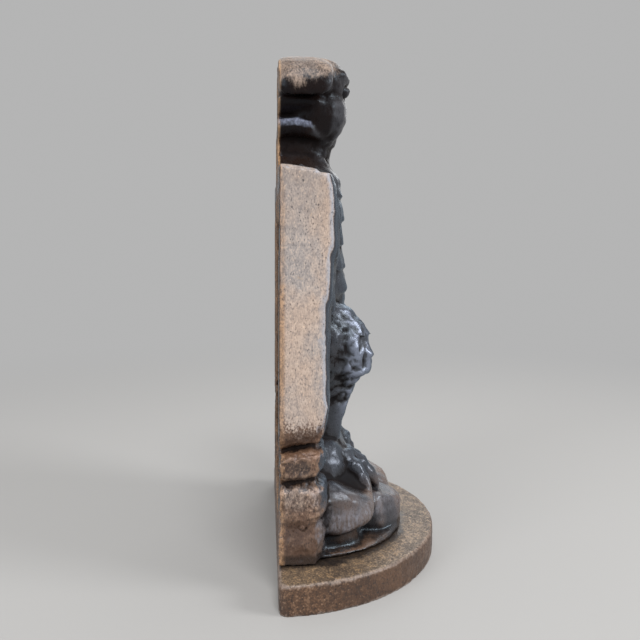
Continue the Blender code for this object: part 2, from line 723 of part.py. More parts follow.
def thigh_rows():
    """Half width and depth of one leg, from the top of the thigh to the ankle."""
    upper = THIGH_TOP - THIGH_HEIGHT
    lower = THIGH_HEIGHT - ANKLE_HEIGHT
    return (
        (THIGH_TOP, THIGH_HALF_WIDTH * 0.35, THIGH_DEPTH * 0.52),
        (THIGH_TOP - upper * 0.17, THIGH_HALF_WIDTH * 0.70, THIGH_DEPTH * 0.77),
        (THIGH_HEIGHT + upper * 0.58, THIGH_HALF_WIDTH * 0.94, THIGH_DEPTH * 0.90),
        (THIGH_HEIGHT + upper * 0.20, THIGH_HALF_WIDTH, THIGH_DEPTH * 0.975),
        (THIGH_HEIGHT - lower * 0.11, THIGH_HALF_WIDTH * 0.93, THIGH_DEPTH * 0.98),
        (THIGH_HEIGHT - lower * 0.30, THIGH_HALF_WIDTH * 0.72, THIGH_DEPTH * 0.86),
        (THIGH_HEIGHT - lower * 0.52, SHANK_HALF_WIDTH * 1.15, SHANK_DEPTH * 1.20),
        (THIGH_HEIGHT - lower * 0.74, SHANK_HALF_WIDTH, SHANK_DEPTH * 1.05),
        (ANKLE_HEIGHT, SHANK_HALF_WIDTH * 0.95, SHANK_DEPTH),
        (ANKLE_HEIGHT - lower * 0.10, SHANK_HALF_WIDTH * 1.30, SHANK_DEPTH * 1.13),
        (ANKLE_HEIGHT - lower * 0.26, SHANK_HALF_WIDTH * 1.20, SHANK_DEPTH * 1.10),
    )


def make_leg(side):
    """One leg: feathered thigh, bare shank, three gripping toes and a hind toe."""
    centre = side * LEG_SPREAD

    def depth(x, height):
        return column_depth(thigh_rows(), centre, x, height)

    shapes = [column("leg", thigh_rows(), centre)]
    width = THIGH_HALF_WIDTH * 0.5
    for number, rise, lift in ((3, 1.17, 1.0), (4, 0.0, 1.1), (3, -1.12, 0.8)):
        tip_height = THIGH_HEIGHT + rise * width
        for index in range(number):
            x = centre + (index - (number - 1) / 2) * width
            root = (centre + (x - centre) * 0.8, tip_height + width * 1.6)
            shapes.append(feather("thigh_feather", root, (x, tip_height), width * 1.15, depth,
                                  FEATHER_LIFT * lift, -FEATHER_LIFT * 0.6, 0.0, 0.35))
    ankle = Vector((centre, -SHANK_DEPTH + TOE_RADIUS * 0.35, ANKLE_HEIGHT - TOE_RADIUS * 1.7))
    reach, fall = (TOE_REACH, TOE_FALL) if side < 0 else (LEFT_TOE_REACH, LEFT_TOE_FALL)
    for spread in (-0.66, 0.0, 0.66):
        shapes.append(make_toe(ankle, spread + side * 0.08, reach, fall))
    steps = ((0.2, 0.2, 0.3), (1.1, 0.4, 0.0), (2.0, 0.2, -1.0))
    hind = [ankle + TOE_RADIUS * Vector((side * x, y, z)) for x, y, z in steps]
    shapes.append(limb("hind_toe", hind, [TOE_RADIUS * size for size in (1.0, 1.0, 0.6)]))
    return shapes


def make_toe(ankle, spread, length, fall):
    """A toe with two knuckles that runs down the rock and ends in a curved claw."""
    path = []
    radii = []
    shares = (0.0, 0.16, 0.32, 0.46, 0.60, 0.74, 0.86, 1.0)
    swell = (1.15, 0.90, 1.15, 0.85, 1.08, 0.82, 0.95, 0.62)
    for share, size in zip(shares, swell):
        reach = length * share
        arch = TOE_RADIUS * 0.85 * math.sin(math.pi * min(share * 1.1, 1.0))
        path.append((ankle.x + math.sin(spread) * reach, ankle.y - math.cos(spread) * reach,
                     ankle.z - fall * reach + arch))
        radii.append(TOE_RADIUS * size)
    end = Vector(path[-1])
    for share, size in ((0.5, 0.42), (1.0, 0.10)):
        forward = CLAW_LENGTH * share * 0.45
        path.append((end.x + math.sin(spread) * forward, end.y - math.cos(spread) * forward,
                     end.z - CLAW_LENGTH * share * 0.8))
        radii.append(TOE_RADIUS * size)
    return limb("toe", path, radii)


def tail_depth(x, height):
    return BACKING_DEPTH + FEATHER_LIFT * 0.5


def make_tail():
    """Five tail feathers, which hang behind the legs to the rock."""
    shapes = []
    for index in range(5):
        offset = index - 2
        root = (offset * TAIL_FEATHER_WIDTH * 0.45, BELLY_HEIGHT - TAIL_FEATHER_WIDTH * 1.9)
        tip = (offset * TAIL_FEATHER_WIDTH * 0.80, ROCK_TOP + FEATHER_LIFT * (abs(offset) - 2))
        lift = FEATHER_LIFT * (2.0 - 0.4 * abs(offset))
        shapes.append(feather("tail_feather", root, tip, TAIL_FEATHER_WIDTH, tail_depth, lift, lift))
    return shapes


def make_rock():
    """The mound: ledges and side blocks, leaning boulders over an undercut, and low front stones."""
    back = SKIRT * 2
    foot = FOOT_LEVEL - SKIRT * 2
    wide = ROCK_HALF_WIDTH
    reach = ROCK_REACH
    rise = ROCK_TOP - FOOT_LEVEL
    hung = FOOT_LEVEL + UNDERCUT_HEIGHT
    slope = (0.0, -0.55, 0.83)
    shapes = [
        boulder("mound", (-wide * 0.66, -reach * 0.60, foot), (wide * 0.66, back, ROCK_TOP), 5, 3.2,
                ((slope, 1.02),)),
        boulder("toe_stone", (-wide * 0.64, -reach * 0.71, foot),
                (wide * 0.64, -reach * 0.2, FOOT_LEVEL + rise * 0.70), 23, 4.2, ((slope, 0.88),)),
    ]
    # name, inner and outer share of the width, reach to the front, back, foot, top, squareness,
    # flats, rise to the front
    stones = (
        ("ledge", 0.50, 1.06, LEDGE_DEPTH, back, LEDGE_FOOT - SEAT_GAP, WING_TIP_HEIGHT, 4.2,
         (((0.0, -0.6, -0.8), 0.95),), LEDGE_RISE),
        ("block_top", 0.50, 1.03, SIDE_BLOCK_DEPTH, back, FOOT_LEVEL + rise * 0.30, LEDGE_FOOT + SKIRT, 4.6,
         (((0.0, -0.72, -0.7), 0.84), ((0.0, -0.5, 0.86), 0.98)), 0.0),
        ("block_foot", 0.50, 1.00, SIDE_BLOCK_DEPTH * 0.97, back, foot, FOOT_LEVEL + rise * 0.48, 3.8,
         (((0.0, -0.7, -0.7), 1.0),), 0.0),
        ("boulder", 0.20, 0.87, reach * 0.735, -back, hung, FOOT_LEVEL + rise * 0.60, 3.6,
         ((slope, 0.78), ((0.4, -0.5, -0.75), 0.92), ((0.7, -0.7, 0.2), 0.98)), 0.0),
        ("under_stone", 0.10, 0.80, reach * 0.62, -back, foot, FOOT_LEVEL + rise * 0.34, 3.4, (), 0.0),
        ("front_stone", 0.01, 0.52, reach * 0.975, reach * -0.28, foot, FOOT_LEVEL + rise * 0.46, 3.2,
         ((slope, 0.80), ((0.6, -0.7, 0.1), 0.90)), 0.0),
    )
    for side in SIDES:
        for seed, stone in enumerate(stones, 13 + side):
            name, inner, outer, front, rear, low, top, squareness, flats, lift = stone
            near, far = sorted((side * wide * inner, side * wide * outer))
            flats = [((side * x, y, z), share) for (x, y, z), share in flats]
            shapes.append(boulder(name, (near, -front, low), (far, rear, top), seed * 3, squareness,
                                  flats, lift))
    return shapes


def make_foot_flange():
    """The thin lip that runs round the rock's foot, where it meets the base plate."""
    line = []
    # share of the rock's half width, share of its reach
    for across, ahead in ((0.97, -0.04), (0.97, 0.09), (0.935, 0.18), (0.90, 0.28), (0.88, 0.36),
                          (0.865, 0.43), (0.825, 0.54), (0.785, 0.62), (0.70, 0.72), (0.555, 0.84),
                          (0.375, 0.93), (0.18, 0.98), (0.0, 0.965)):
        line.append((ROCK_HALF_WIDTH * across, -ROCK_REACH * ahead))
    ring = line + [(-x, y) for x, y in reversed(line[:-1])]
    bm = bmesh.new()
    low = [bm.verts.new((x, y, FOOT_LEVEL - SKIRT)) for x, y in ring]
    top = [bm.verts.new((x, y, FOOT_LEVEL + FOOT_FLANGE_HEIGHT)) for x, y in ring]
    bm.faces.new(low)
    bm.faces.new(top)
    for index in range(len(ring)):
        after = (index + 1) % len(ring)
        bm.faces.new((low[index], low[after], top[after], top[index]))
    rim = [edge for edge in bm.edges if all(vertex in top for vertex in edge.verts)]
    bmesh.ops.bevel(bm, geom=rim, offset=FOOT_FLANGE_ROUND, segments=2, profile=0.5, affect="EDGES")
    return shape_from_bmesh("foot_flange", bm)


def oval(centre_z, half_width, half_height, steps=18):
    """An upright oval of (x, z) points."""
    points = []
    for step in range(steps):
        angle = 2 * math.pi * step / steps
        points.append((half_width * math.sin(angle), centre_z + half_height * math.cos(angle)))
    return points


def pocket_cutters():
    """The hollow of the back: shallow behind the wings, deep behind the body, head and rock."""
    wing_floor = PRIMARY_DEPTH - FRONT_SKIN - FEATHER_LIFT
    inner = WING_HALF_SPAN - WALL
    low = ROCK_TOP + WALL
    corner = POCKET_ROUND * 1.6
    wing = [(inner, low - WALL * 0.4)]
    wing += arc(inner - corner, SHOULDER_HEIGHT - WALL - corner, corner, 0, 90, 4)
    for step in range(1, 5):
        x = inner - corner + (NECK_HALF_WIDTH - inner + corner) * step / 4
        wing.append((x, shoulder_top(x) - WALL))
    floor = FOOT_LEVEL + FLOOR_THICKNESS
    rock_inner = ROCK_HALF_WIDTH - WALL - SKIRT
    rock = [(rock_inner - corner, floor)]
    rock += arc(rock_inner - corner, floor + corner, corner, -45, 0, 2)
    rock.append((rock_inner, low))
    body_low = (BELLY_HEIGHT + VENT_HEIGHT - WALL) / 2
    body_top = NECK_HEIGHT - WALL * 1.5
    body = oval((body_low + body_top) / 2, BREAST_HALF_WIDTH - WALL, (body_top - body_low) / 2)
    neck_half = NECK_HALF_WIDTH - WALL
    head_top = TOTAL_HEIGHT - WALL * 1.6
    neck = [(neck_half, BELLY_HEIGHT + WALL * 2), (neck_half, HEAD_FOOT), (neck_half * 1.3, HEAD_FOOT + WALL)]
    neck += arc(0.0, head_top - neck_half * 1.3, neck_half * 1.3, 0, 80, 4)
    mound_top = ROCK_TOP - WALL * 1.25
    half = MOUND_POCKET_HALF_WIDTH
    mound = [(half, floor)]
    for step in range(1, 6):
        angle = math.pi / 2 * step / 5.5
        mound.append((half * math.cos(angle), floor + (mound_top - floor) * math.sin(angle)))
    return [
        plate("wing_pocket", mirrored(wing), -SKIRT, wing_floor, POCKET_ROUND),
        plate("rock_pocket", mirrored(rock), -SKIRT, wing_floor, POCKET_ROUND),
        plate("body_pocket", body, -SKIRT, BREAST_DEPTH - FRONT_SKIN - WALL / 2, POCKET_ROUND),
        plate("neck_pocket", mirrored(neck), -SKIRT, NECK_DEPTH - FRONT_SKIN - SKIRT, POCKET_ROUND),
        plate("mound_pocket", mirrored(mound), -SKIRT, MOUND_POCKET_DEPTH, POCKET_ROUND),
    ]


def make_figure():
    """Unites the relief, trims it to the flat back, flat wing sides and foot, and hollows it."""
    backing = make_backing()
    relief = []
    for side in SIDES:
        relief += make_wing(side)
        relief += make_leg(side)
    relief += make_breast() + make_neck() + make_head() + make_tail() + make_rock()
    relief.append(make_foot_flange())
    body = pour_full(united("relief", backing, relief))
    mould = block("mould", (-WING_HALF_SPAN, -BASE_RADIUS, FOOT_LEVEL),
                  (WING_HALF_SPAN, 0.0, TOTAL_HEIGHT + SKIRT))
    body = worked("trimmed", body, [mould], "INTERSECT", "MANIFOLD")
    body = worked("hollow", body, pocket_cutters(), "DIFFERENCE", "MANIFOLD")
    boss_top = SCREW_HEAD_RECESS + SCREW_LENGTH + BOSS_ROOF
    bosses = []
    holes = []
    bore = SCREW_RADIUS + SCREW_CLEARANCE
    for x, y in screw_places():
        bosses.append(cylinder("boss", x, y, FOOT_LEVEL + FLOOR_THICKNESS / 2, boss_top,
                               BOSS_RADIUS, BOSS_RADIUS * 0.86, 20))
        holes.append(cylinder("tapped_hole", x, y, 0.0,
                              SCREW_HEAD_RECESS + SCREW_LENGTH + SCREW_CLEARANCE, bore, bore))
    thin = body.modifiers.new("Fewer faces", "DECIMATE")
    thin.ratio = KEPT_FACES
    body = applied("thinned", body)
    body = worked("bossed", body, bosses, "UNION", "MANIFOLD")
    return pour_full(worked("figure_casting", body, holes, "DIFFERENCE", "MANIFOLD"))


def finish(piece, material, angle):
    """Gives the material, shades round stretches smooth and moves the piece to the origin."""
    bm = bmesh.new()
    bm.from_mesh(piece.data)
    bmesh.ops.triangulate(bm, faces=bm.faces)
    bm.to_mesh(piece.data)
    bm.free()
    piece.data.materials.clear()
    piece.data.materials.append(material)
    piece.data.shade_smooth()
    piece.data.set_sharp_from_angle(angle=math.radians(angle))
    piece.location.y = CENTRE_Y


def main():
    clear_scene()
    cast = iron("cast_iron", (0.070, 0.055, 0.045), 0.62)
    steel = iron("aged_steel", (0.095, 0.080, 0.070), 0.45)
    finish(make_base_plate(), cast, 35)
    for name, (x, y) in zip(("base_screw_left", "base_screw_right"), screw_places()):
        finish(make_screw(name, x, y), steel, 35)
    finish(make_figure(), cast, 35)


main()
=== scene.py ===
"""Cast iron eagle doorstop: the finished castings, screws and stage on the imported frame.

Metres, +Z up. The front is towards -Y, the flat back lies in the plane Y = BACK_PLANE, and the eagle
looks towards -X.
"""
import math
from types import SimpleNamespace

import bpy
import numpy as np
from mathutils import Matrix, Vector


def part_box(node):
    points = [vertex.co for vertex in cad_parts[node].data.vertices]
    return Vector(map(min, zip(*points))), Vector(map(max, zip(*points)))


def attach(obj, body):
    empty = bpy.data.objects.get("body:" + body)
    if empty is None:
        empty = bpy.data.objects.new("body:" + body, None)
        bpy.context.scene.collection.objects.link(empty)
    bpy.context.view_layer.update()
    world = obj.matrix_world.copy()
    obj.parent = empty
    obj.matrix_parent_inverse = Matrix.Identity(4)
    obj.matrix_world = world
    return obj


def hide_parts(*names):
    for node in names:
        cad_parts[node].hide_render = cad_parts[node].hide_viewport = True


bl_info = {
    "name": "Eagle Doorstop",
    "version": (1, 0, 0),
    "blender": (4, 5, 0),
    "location": "3D Viewport > Sidebar > Doorstop",
    "description": "Builds a cast iron eagle doorstop with its stage",
    "category": "Add Mesh",
}

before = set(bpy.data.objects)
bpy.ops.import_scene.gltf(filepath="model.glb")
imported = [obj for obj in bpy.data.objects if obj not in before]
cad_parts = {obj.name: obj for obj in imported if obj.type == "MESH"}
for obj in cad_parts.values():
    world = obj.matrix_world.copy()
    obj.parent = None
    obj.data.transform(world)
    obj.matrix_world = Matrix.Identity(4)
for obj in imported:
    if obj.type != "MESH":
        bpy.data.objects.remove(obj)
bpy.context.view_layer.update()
FIGURE_LOW, FIGURE_HIGH = (Vector(corner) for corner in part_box("figure_casting"))
BASE_LOW, BASE_HIGH = (Vector(corner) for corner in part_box("base_plate"))
BACK_PLANE = BASE_HIGH.y
HALF_SPAN = FIGURE_HIGH.x

# Zones of the figure, in metres: heights, depths in front of the back plane, and distances from the
# middle. A zone starts at its first value and is full at its second. Where it has four values, it
# starts to fade at the third and ends at the fourth.
FRONT_DEPTH = (0.016, 0.022)
THIGH_HEIGHT = (0.052, 0.058, 0.086, 0.094)
HEAD_HEIGHT = (0.150, 0.154)
NAPE_SIDE = (0.004, 0.009)
BEAK_SIDE = (0.010, 0.014)
NECK_SIDE = (0.008, 0.011)
NECK_HEIGHT = (0.134, 0.138, 0.149, 0.153)
WING_EDGE_SIDE = (0.0445, 0.0465)
WING_EDGE_HEIGHT = (0.060, 0.066)
BREAST_HEIGHT = (0.080, 0.086)
SEAM_SIDE = (0.026, 0.030)
SEAM_HEIGHT = (0.0195, 0.0215, 0.0280, 0.0300)
SHOULDER_SIDE = (0.0425, 0.0455)
SHOULDER_HEIGHT = (0.062, 0.066)
SHOULDER_DEPTH = (0.010, 0.013)
BROW_HEIGHT = (0.157, 0.161)
TUFT_SIDE = (0.003, 0.006)
TUFT_HEIGHT = (0.1615, 0.1645, 0.1690, 0.1720)
LEDGE_SIDE = (0.030, 0.036)
LEDGE_HEIGHT = (0.034, 0.038, 0.047, 0.052)
ROCK_SIDE = (0.046, 0.040)
ROCK_HEIGHT = (0.046, 0.036)
ROCK_DEPTH = (0.010, 0.016)
LOW_SIDE = (0.036, 0.042)
LOW_HEIGHT = (0.062, 0.052)

# The eye: its place across and up, and its groove in eye radii.
EYE_PLACE = (-0.0066, 0.1672)
EYE_DEPTH = (0.0175, 0.0190)
GROOVE_RADIUS = 1.30
GROOVE_WIDTH = 0.24
GROOVE_SHARE = 0.75

# Rows of wing feathers: lower end, upper end, width of a feather, and shift in feathers.
FEATHER_ROWS = (
    (0.0480, 0.0880, 0.0064, 0.0),
    (0.0880, 0.1035, 0.0056, 0.5),
    (0.1035, 0.1310, 0.0056, 0.0),
)
FEATHER_ROOT = 0.020
FEATHER_SIDE = (0.0200, 0.0225, 0.0465, 0.0485)
FEATHER_DEPTH = (0.0140, 0.0155)
FEATHER_FACING = (0.35, 0.75)
FEATHER_SPLAY = 0.10
ROW_SLOPE = 0.22
ROW_FADE = 0.0010
LINE_WIDTH = 0.00060
QUILL_WIDTH = 0.00050
QUILL_SHARE = 0.45

# Relief: the averaging passes that give the level to measure from, and the height that counts as 1.
FINE_RELIEF = (6, 0.00035)
BROAD_RELIEF = (60, 0.0012)
SPIKE_RELIEF = (3, 0.0006)
SPIKE_LEVEL = (0.35, 0.60)
SPIKE_PASSES = 10

# Zones of the figure's finish, given like the zones above.
FLANK_SIDE = (HALF_SPAN * 0.86, HALF_SPAN * 0.93)
WING_BARE_HEIGHT = (0.0490, 0.0640)
BLOCK_BARE_HEIGHT = (0.024, 0.032, 0.035, 0.038)
CROWN_BARE_HEIGHT = (0.1680, 0.1750)
LOW_FINISH_HEIGHT = (0.0125, 0.0150)
POOL_HEIGHT = (0.0150, 0.0130)
BURNISHED_HEIGHT = (0.142, 0.126)
STONE_HEIGHT = (0.034, 0.026)
SCUFF_HEIGHT = (0.032, 0.025)
KNEE_SIDE = (0.009, 0.012)
KNEE_HEIGHT = (0.046, 0.058, 0.092, 0.100)
BOULDER_HEIGHT = (0.0165, 0.0190, 0.0230, 0.0290)
THROAT_HEIGHT = (0.1495, 0.1545, 0.1560, 0.1600)
FEATURE_HEIGHT = (0.130, 0.138)
HOLLOW_SIDE = (HALF_SPAN - 0.0052, HALF_SPAN - 0.0058)
HOLLOW_PLACE = (BACK_PLANE - 0.0135, BACK_PLANE - 0.0125)
NECK_OUTER_SIDE = (0.0094, 0.0100)
NECK_OUTER_HEIGHT = (0.1290, 0.1310)
POCKET_SIDE = (0.020, 0.018)
POCKET_HEIGHT = (0.130, 0.128)

# Foot of the rock on the base plate, which the spilt wax follows.
ROCK_HALF_WIDTH = 0.0465
ROCK_REACH = 0.0460
ROCK_ROUNDNESS = 2.2

# Tints: factors on the red, green and blue of a finish colour.
COOL_IRON = (0.76, 0.88, 1.04)
WARM_IRON = (1.04, 1.03, 1.03)
PALE_IRON = (1.42, 1.50, 1.55)
DARK_IRON = (0.42, 0.49, 0.60)
SHOULDER_IRON = (0.52, 0.47, 0.42)
# Painted glints: bright specks that stand in for glints of light.
PAINTED_GLINT_IRON = (2.0, 1.80, 1.45)
# Painted sheen of light on the wings' rounded front edge.
PAINTED_EDGE_SHEEN_IRON = (0.78, 1.10, 1.60)
SPECK_IRON = (0.80, 0.68, 0.58)
RIDGE_IRON = (1.05, 0.92, 0.78)
# Gilding of rubbed ridges, also the colour of painted glints on the back edge.
GILT_AND_GLINT_IRON = (1.6, 1.38, 1.05)
DULL_BROWN = (0.62, 0.64, 0.68)
WARM_BROWN = (1.45, 1.30, 1.15)
WING_FOOT_BROWN = (1.60, 1.35, 1.10)
BLOCK_FOOT_BROWN = (0.62, 0.52, 0.45)
# Painted shade on surfaces that face down.
PAINTED_SHADE_UNDERSIDE_BROWN = (0.34, 0.27, 0.22)
STONE_BROWN = (1.05, 1.15, 1.25)
SCUFF_BROWN = (1.55, 1.55, 1.50)
HOLLOW_BROWN = (0.30, 0.30, 0.32)
PATCH_BROWN = (1.05, 0.92, 0.75)
SPECK_BROWN = (1.1, 1.0, 0.9)
BACK_BROWN = (0.55, 0.52, 0.50)
BROWN_WAX = (1.9, 1.35, 0.95)
HEAD_WAX = (0.45, 0.30, 0.30)
# Painted highlights and sheen on the black: thighs, front of the head, under the beak and on the low rock.
PAINTED_THIGH_SHEEN = (3.0, 3.15, 3.4)
PAINTED_HEAD_HIGHLIGHT = (1.1, 1.05, 1.0)
PAINTED_THROAT_HIGHLIGHT = (5.8, 6.1, 6.9)
PAINTED_BOULDER_SHEEN = (3.0, 2.8, 2.7)
DARK_RUST = (0.45, 0.42, 0.42)
PALE_RUST = (1.35, 1.30, 1.25)
DARK_BASE = (0.58, 0.57, 0.58)
PALE_BASE = (1.10, 1.08, 1.02)
SANDY_BASE = (3.2, 2.9, 2.3)
DARK_RIM = (0.70, 0.66, 0.66)
PALE_RIM = (1.30, 1.25, 1.15)
SHADED_RIM = (0.45, 0.50, 0.60)
SPOT_IRON = (0.62, 0.48, 0.36)
# Painted glints on the base plate.
PAINTED_GLINT_BASE_IRON = (1.20, 1.10, 0.95)
BASE_EDGE_IRON = (0.62, 0.62, 0.64)


class CastingSettings(bpy.types.PropertyGroup):
    skin_size: bpy.props.FloatProperty(
        name="Skin Size", description="Size of the faces that a casting's skin is rebuilt with",
        default=0.00052, min=0.0003, max=0.002, precision=5, unit="LENGTH")
    edge_softness: bpy.props.IntProperty(
        name="Edge Softness", description="Smoothing passes that round the edges as a sand mould does",
        default=5, min=0, max=20)
    carving_softness: bpy.props.IntProperty(
        name="Carving Softness", description="Further passes on thighs, breast, neck, nape and wing edges",
        default=16, min=0, max=60)
    seam_softness: bpy.props.IntProperty(
        name="Seam Softness", description="Further passes where carved blocks meet",
        default=70, min=0, max=120)
    sand_depth: bpy.props.FloatProperty(
        name="Sand Depth", description="Depth of the grain that the moulding sand left",
        default=0.00028, min=0.0, max=0.001, precision=5, unit="LENGTH")
    sand_size: bpy.props.FloatProperty(
        name="Sand Size", description="Width of the coarser sand marks",
        default=0.0016, min=0.0005, max=0.01, precision=5, unit="LENGTH")
    swell_depth: bpy.props.FloatProperty(
        name="Swell Depth", description="Depth of the slow unevenness of a hand made pattern",
        default=0.0006, min=0.0, max=0.003, precision=5, unit="LENGTH")
    swell_size: bpy.props.FloatProperty(
        name="Swell Size", description="Width of the slow unevenness",
        default=0.012, min=0.003, max=0.05, precision=4, unit="LENGTH")
    eye_radius: bpy.props.FloatProperty(
        name="Eye Radius", description="Radius of the round eye on the front of the head",
        default=0.0019, min=0.001, max=0.003, precision=4, unit="LENGTH")
    eye_rise: bpy.props.FloatProperty(
        name="Eye Rise", description="How far the eye stands out of its groove",
        default=0.0011, min=0.0, max=0.002, precision=4, unit="LENGTH")
    feather_line: bpy.props.FloatProperty(
        name="Feather Line", description="Depth of the lines between the wings' feathers",
        default=0.0006, min=0.0, max=0.0015, precision=5, unit="LENGTH")
    plate_depth: bpy.props.FloatProperty(
        name="Plate Depth", description="Depth of the faceted plates on the thighs",
        default=0.0009, min=0.0, max=0.003, precision=5, unit="LENGTH")
    plate_size: bpy.props.FloatProperty(
        name="Plate Size", description="Width of the faceted plates",
        default=0.0052, min=0.001, max=0.02, precision=5, unit="LENGTH")
    hewn_depth: bpy.props.FloatProperty(
        name="Hewn Depth", description="Depth of the hewn faces of the rock",
        default=0.0016, min=0.0, max=0.005, precision=5, unit="LENGTH")
    hewn_size: bpy.props.FloatProperty(
        name="Hewn Size", description="Width of the hewn faces",
        default=0.013, min=0.003, max=0.05, precision=4, unit="LENGTH")
    crumple_depth: bpy.props.FloatProperty(
        name="Crumple Depth", description="Depth of the crumpled ridges on thighs and ledges",
        default=0.0021, min=0.0, max=0.006, precision=5, unit="LENGTH")
    crumple_size: bpy.props.FloatProperty(
        name="Crumple Size", description="Width of the crumpled ridges",
        default=0.0085, min=0.001, max=0.02, precision=5, unit="LENGTH")
    crackle_depth: bpy.props.FloatProperty(
        name="Crackle Depth", description="Depth of the crackled scale low on the flanks",
        default=0.0008, min=0.0, max=0.004, precision=5, unit="LENGTH")
    crackle_size: bpy.props.FloatProperty(
        name="Crackle Size", description="Width of the crackled scale",
        default=0.0021, min=0.0005, max=0.01, precision=5, unit="LENGTH")
    figure_faces: bpy.props.FloatProperty(
        name="Figure Faces", description="Share of the figure's faces that is kept",
        default=0.41, min=0.1, max=1.0, subtype="FACTOR")
    base_faces: bpy.props.FloatProperty(
        name="Base Faces", description="Share of the base plate's faces that is kept",
        default=0.7, min=0.1, max=1.0, subtype="FACTOR")


class FinishSettings(bpy.types.PropertyGroup):
    worn_colour: bpy.props.FloatVectorProperty(
        name="Worn Iron", description="Colour of the iron where hands wore the finish through",
        default=(0.43, 0.325, 0.258), subtype="COLOR", min=0.0, max=1.0)
    brown_colour: bpy.props.FloatVectorProperty(
        name="Brown Iron", description="Colour of the brown finish low on the casting",
        default=(0.102, 0.062, 0.043), subtype="COLOR", min=0.0, max=1.0)
    wax_colour: bpy.props.FloatVectorProperty(
        name="Dark Wax", description="Colour of the dark wax over the carved front",
        default=(0.013, 0.0100, 0.0095), subtype="COLOR", min=0.0, max=1.0)
    sheen_colour: bpy.props.FloatVectorProperty(
        name="Wax Sheen", description="Tint of the light that the wax throws back",
        default=(0.66, 0.84, 1.0), subtype="COLOR", min=0.0, max=1.0)
    # The burnished black is also the base of the painted highlights and sheen on the thighs, the front of
    # the head, under the beak and on the low rock.
    black_colour: bpy.props.FloatVectorProperty(
        name="Burnished Black", description="Bluish grey of the black finish where it was rubbed bright",
        default=(0.073, 0.077, 0.091), subtype="COLOR", min=0.0, max=1.0)
    hollow_colour: bpy.props.FloatVectorProperty(
        name="Hollows", description="Colour of the dirt in the deepest lines",
        default=(0.010, 0.008, 0.008), subtype="COLOR", min=0.0, max=1.0)
    rust_colour: bpy.props.FloatVectorProperty(
        name="Rust", description="Colour of the thin brown rust",
        default=(0.260, 0.142, 0.068), subtype="COLOR", min=0.0, max=1.0)
    base_colour: bpy.props.FloatVectorProperty(
        name="Base Iron", description="Colour of the base plate's sandy brown finish",
        default=(0.120, 0.085, 0.058), subtype="COLOR", min=0.0, max=1.0)
    rim_colour: bpy.props.FloatVectorProperty(
        name="Base Rim", description="Colour of the dark brown rim of the base plate",
        default=(0.074, 0.038, 0.021), subtype="COLOR", min=0.0, max=1.0)
    steel_colour: bpy.props.FloatVectorProperty(
        name="Screw Steel", description="Colour of the darkened screws",
        default=(0.130, 0.115, 0.100), subtype="COLOR", min=0.0, max=1.0)


class StageSettings(bpy.types.PropertyGroup):
    floor_colour: bpy.props.FloatVectorProperty(
        name="Floor", description="Colour of the plain floor",
        default=(0.40, 0.395, 0.388), subtype="COLOR", min=0.0, max=1.0)
    room_colour: bpy.props.FloatVectorProperty(
        name="Room", description="Colour of the plain room behind the object",
        default=(0.46, 0.46, 0.46), subtype="COLOR", min=0.0, max=1.0)
    camera_place: bpy.props.FloatVectorProperty(
        name="Camera Place", description="Where the camera stands",
        default=(-0.2626, 0.03387, 0.1140), precision=4, unit="LENGTH")
    camera_yaw: bpy.props.FloatProperty(
        name="Camera Yaw", description="Turn of the camera towards the front of the object",
        default=math.radians(4.44), subtype="ANGLE")
    camera_pitch: bpy.props.FloatProperty(
        name="Camera Pitch", description="How far the camera looks down",
        default=math.radians(6.30), subtype="ANGLE")
    camera_roll: bpy.props.FloatProperty(
        name="Camera Roll", description="Tilt of the picture",
        default=math.radians(0.46), subtype="ANGLE")
    lens: bpy.props.FloatProperty(
        name="Lens", description="Focal length on a 36 mm sensor, in millimetres",
        default=39.375, min=10.0, max=300.0)


def only(piece):
    """Leaves just this object selected and active."""
    bpy.ops.object.select_all(action="DESELECT")
    piece.select_set(True)
    bpy.context.view_layer.objects.active = piece


def copy_of_node(node, name):
    """A separate mesh object with a CAD node's shape, its doubled corners merged."""
    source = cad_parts[node]
    mesh = source.data.copy()
    mesh.name = name
    piece = bpy.data.objects.new(name, mesh)
    piece.matrix_world = source.matrix_world
    bpy.context.scene.collection.objects.link(piece)
    only(piece)
    bpy.ops.object.mode_set(mode="EDIT")
    bpy.ops.mesh.select_all(action="SELECT")
    bpy.ops.mesh.remove_doubles(threshold=0.000004)
    bpy.ops.object.mode_set(mode="OBJECT")
    if "custom_normal" in mesh.attributes:
        bpy.ops.mesh.customdata_custom_splitnormals_clear()
    mesh.materials.clear()
    return piece


def mark_group(piece, name, weights):
    """Stores weights from 0 to 1 as a vertex group, in ten levels."""
    marked = piece.vertex_groups.new(name=name)
    levels = np.round(np.clip(weights, 0.0, 1.0) * 10)
    for level in range(1, 11):
        chosen = np.flatnonzero(levels == level)
        marked.add([int(index) for index in chosen], level / 10, "REPLACE")
    return marked.name


def apply_modifier(piece, kind, name, weights=None, **settings):
    """Adds a modifier and applies it, everywhere or as far as the weights say."""
    only(piece)
    modifier = piece.modifiers.new(name, kind)
    for key, value in settings.items():
        setattr(modifier, key, value)
    if weights is not None:
        modifier.vertex_group = mark_group(piece, name, weights)
    bpy.ops.object.modifier_apply(modifier=modifier.name)
    piece.vertex_groups.clear()


def smooth(piece, name, passes, weights=None):
    """Smooths the surface by this many passes, where the weights say so."""
    apply_modifier(piece, "SMOOTH", name, weights, factor=0.5, iterations=passes)


def press_texture(piece, name, kind, size, depth, weights=None, **settings):
    """Raises and sinks the surface by a texture, where the weights say so."""
    texture = bpy.data.textures.new(name, kind)
    texture.noise_scale = size
    for key, value in settings.items():
        setattr(texture, key, value)
    apply_modifier(piece, "DISPLACE", name, weights, texture=texture, texture_coords="LOCAL",
                   strength=depth, mid_level=0.5)


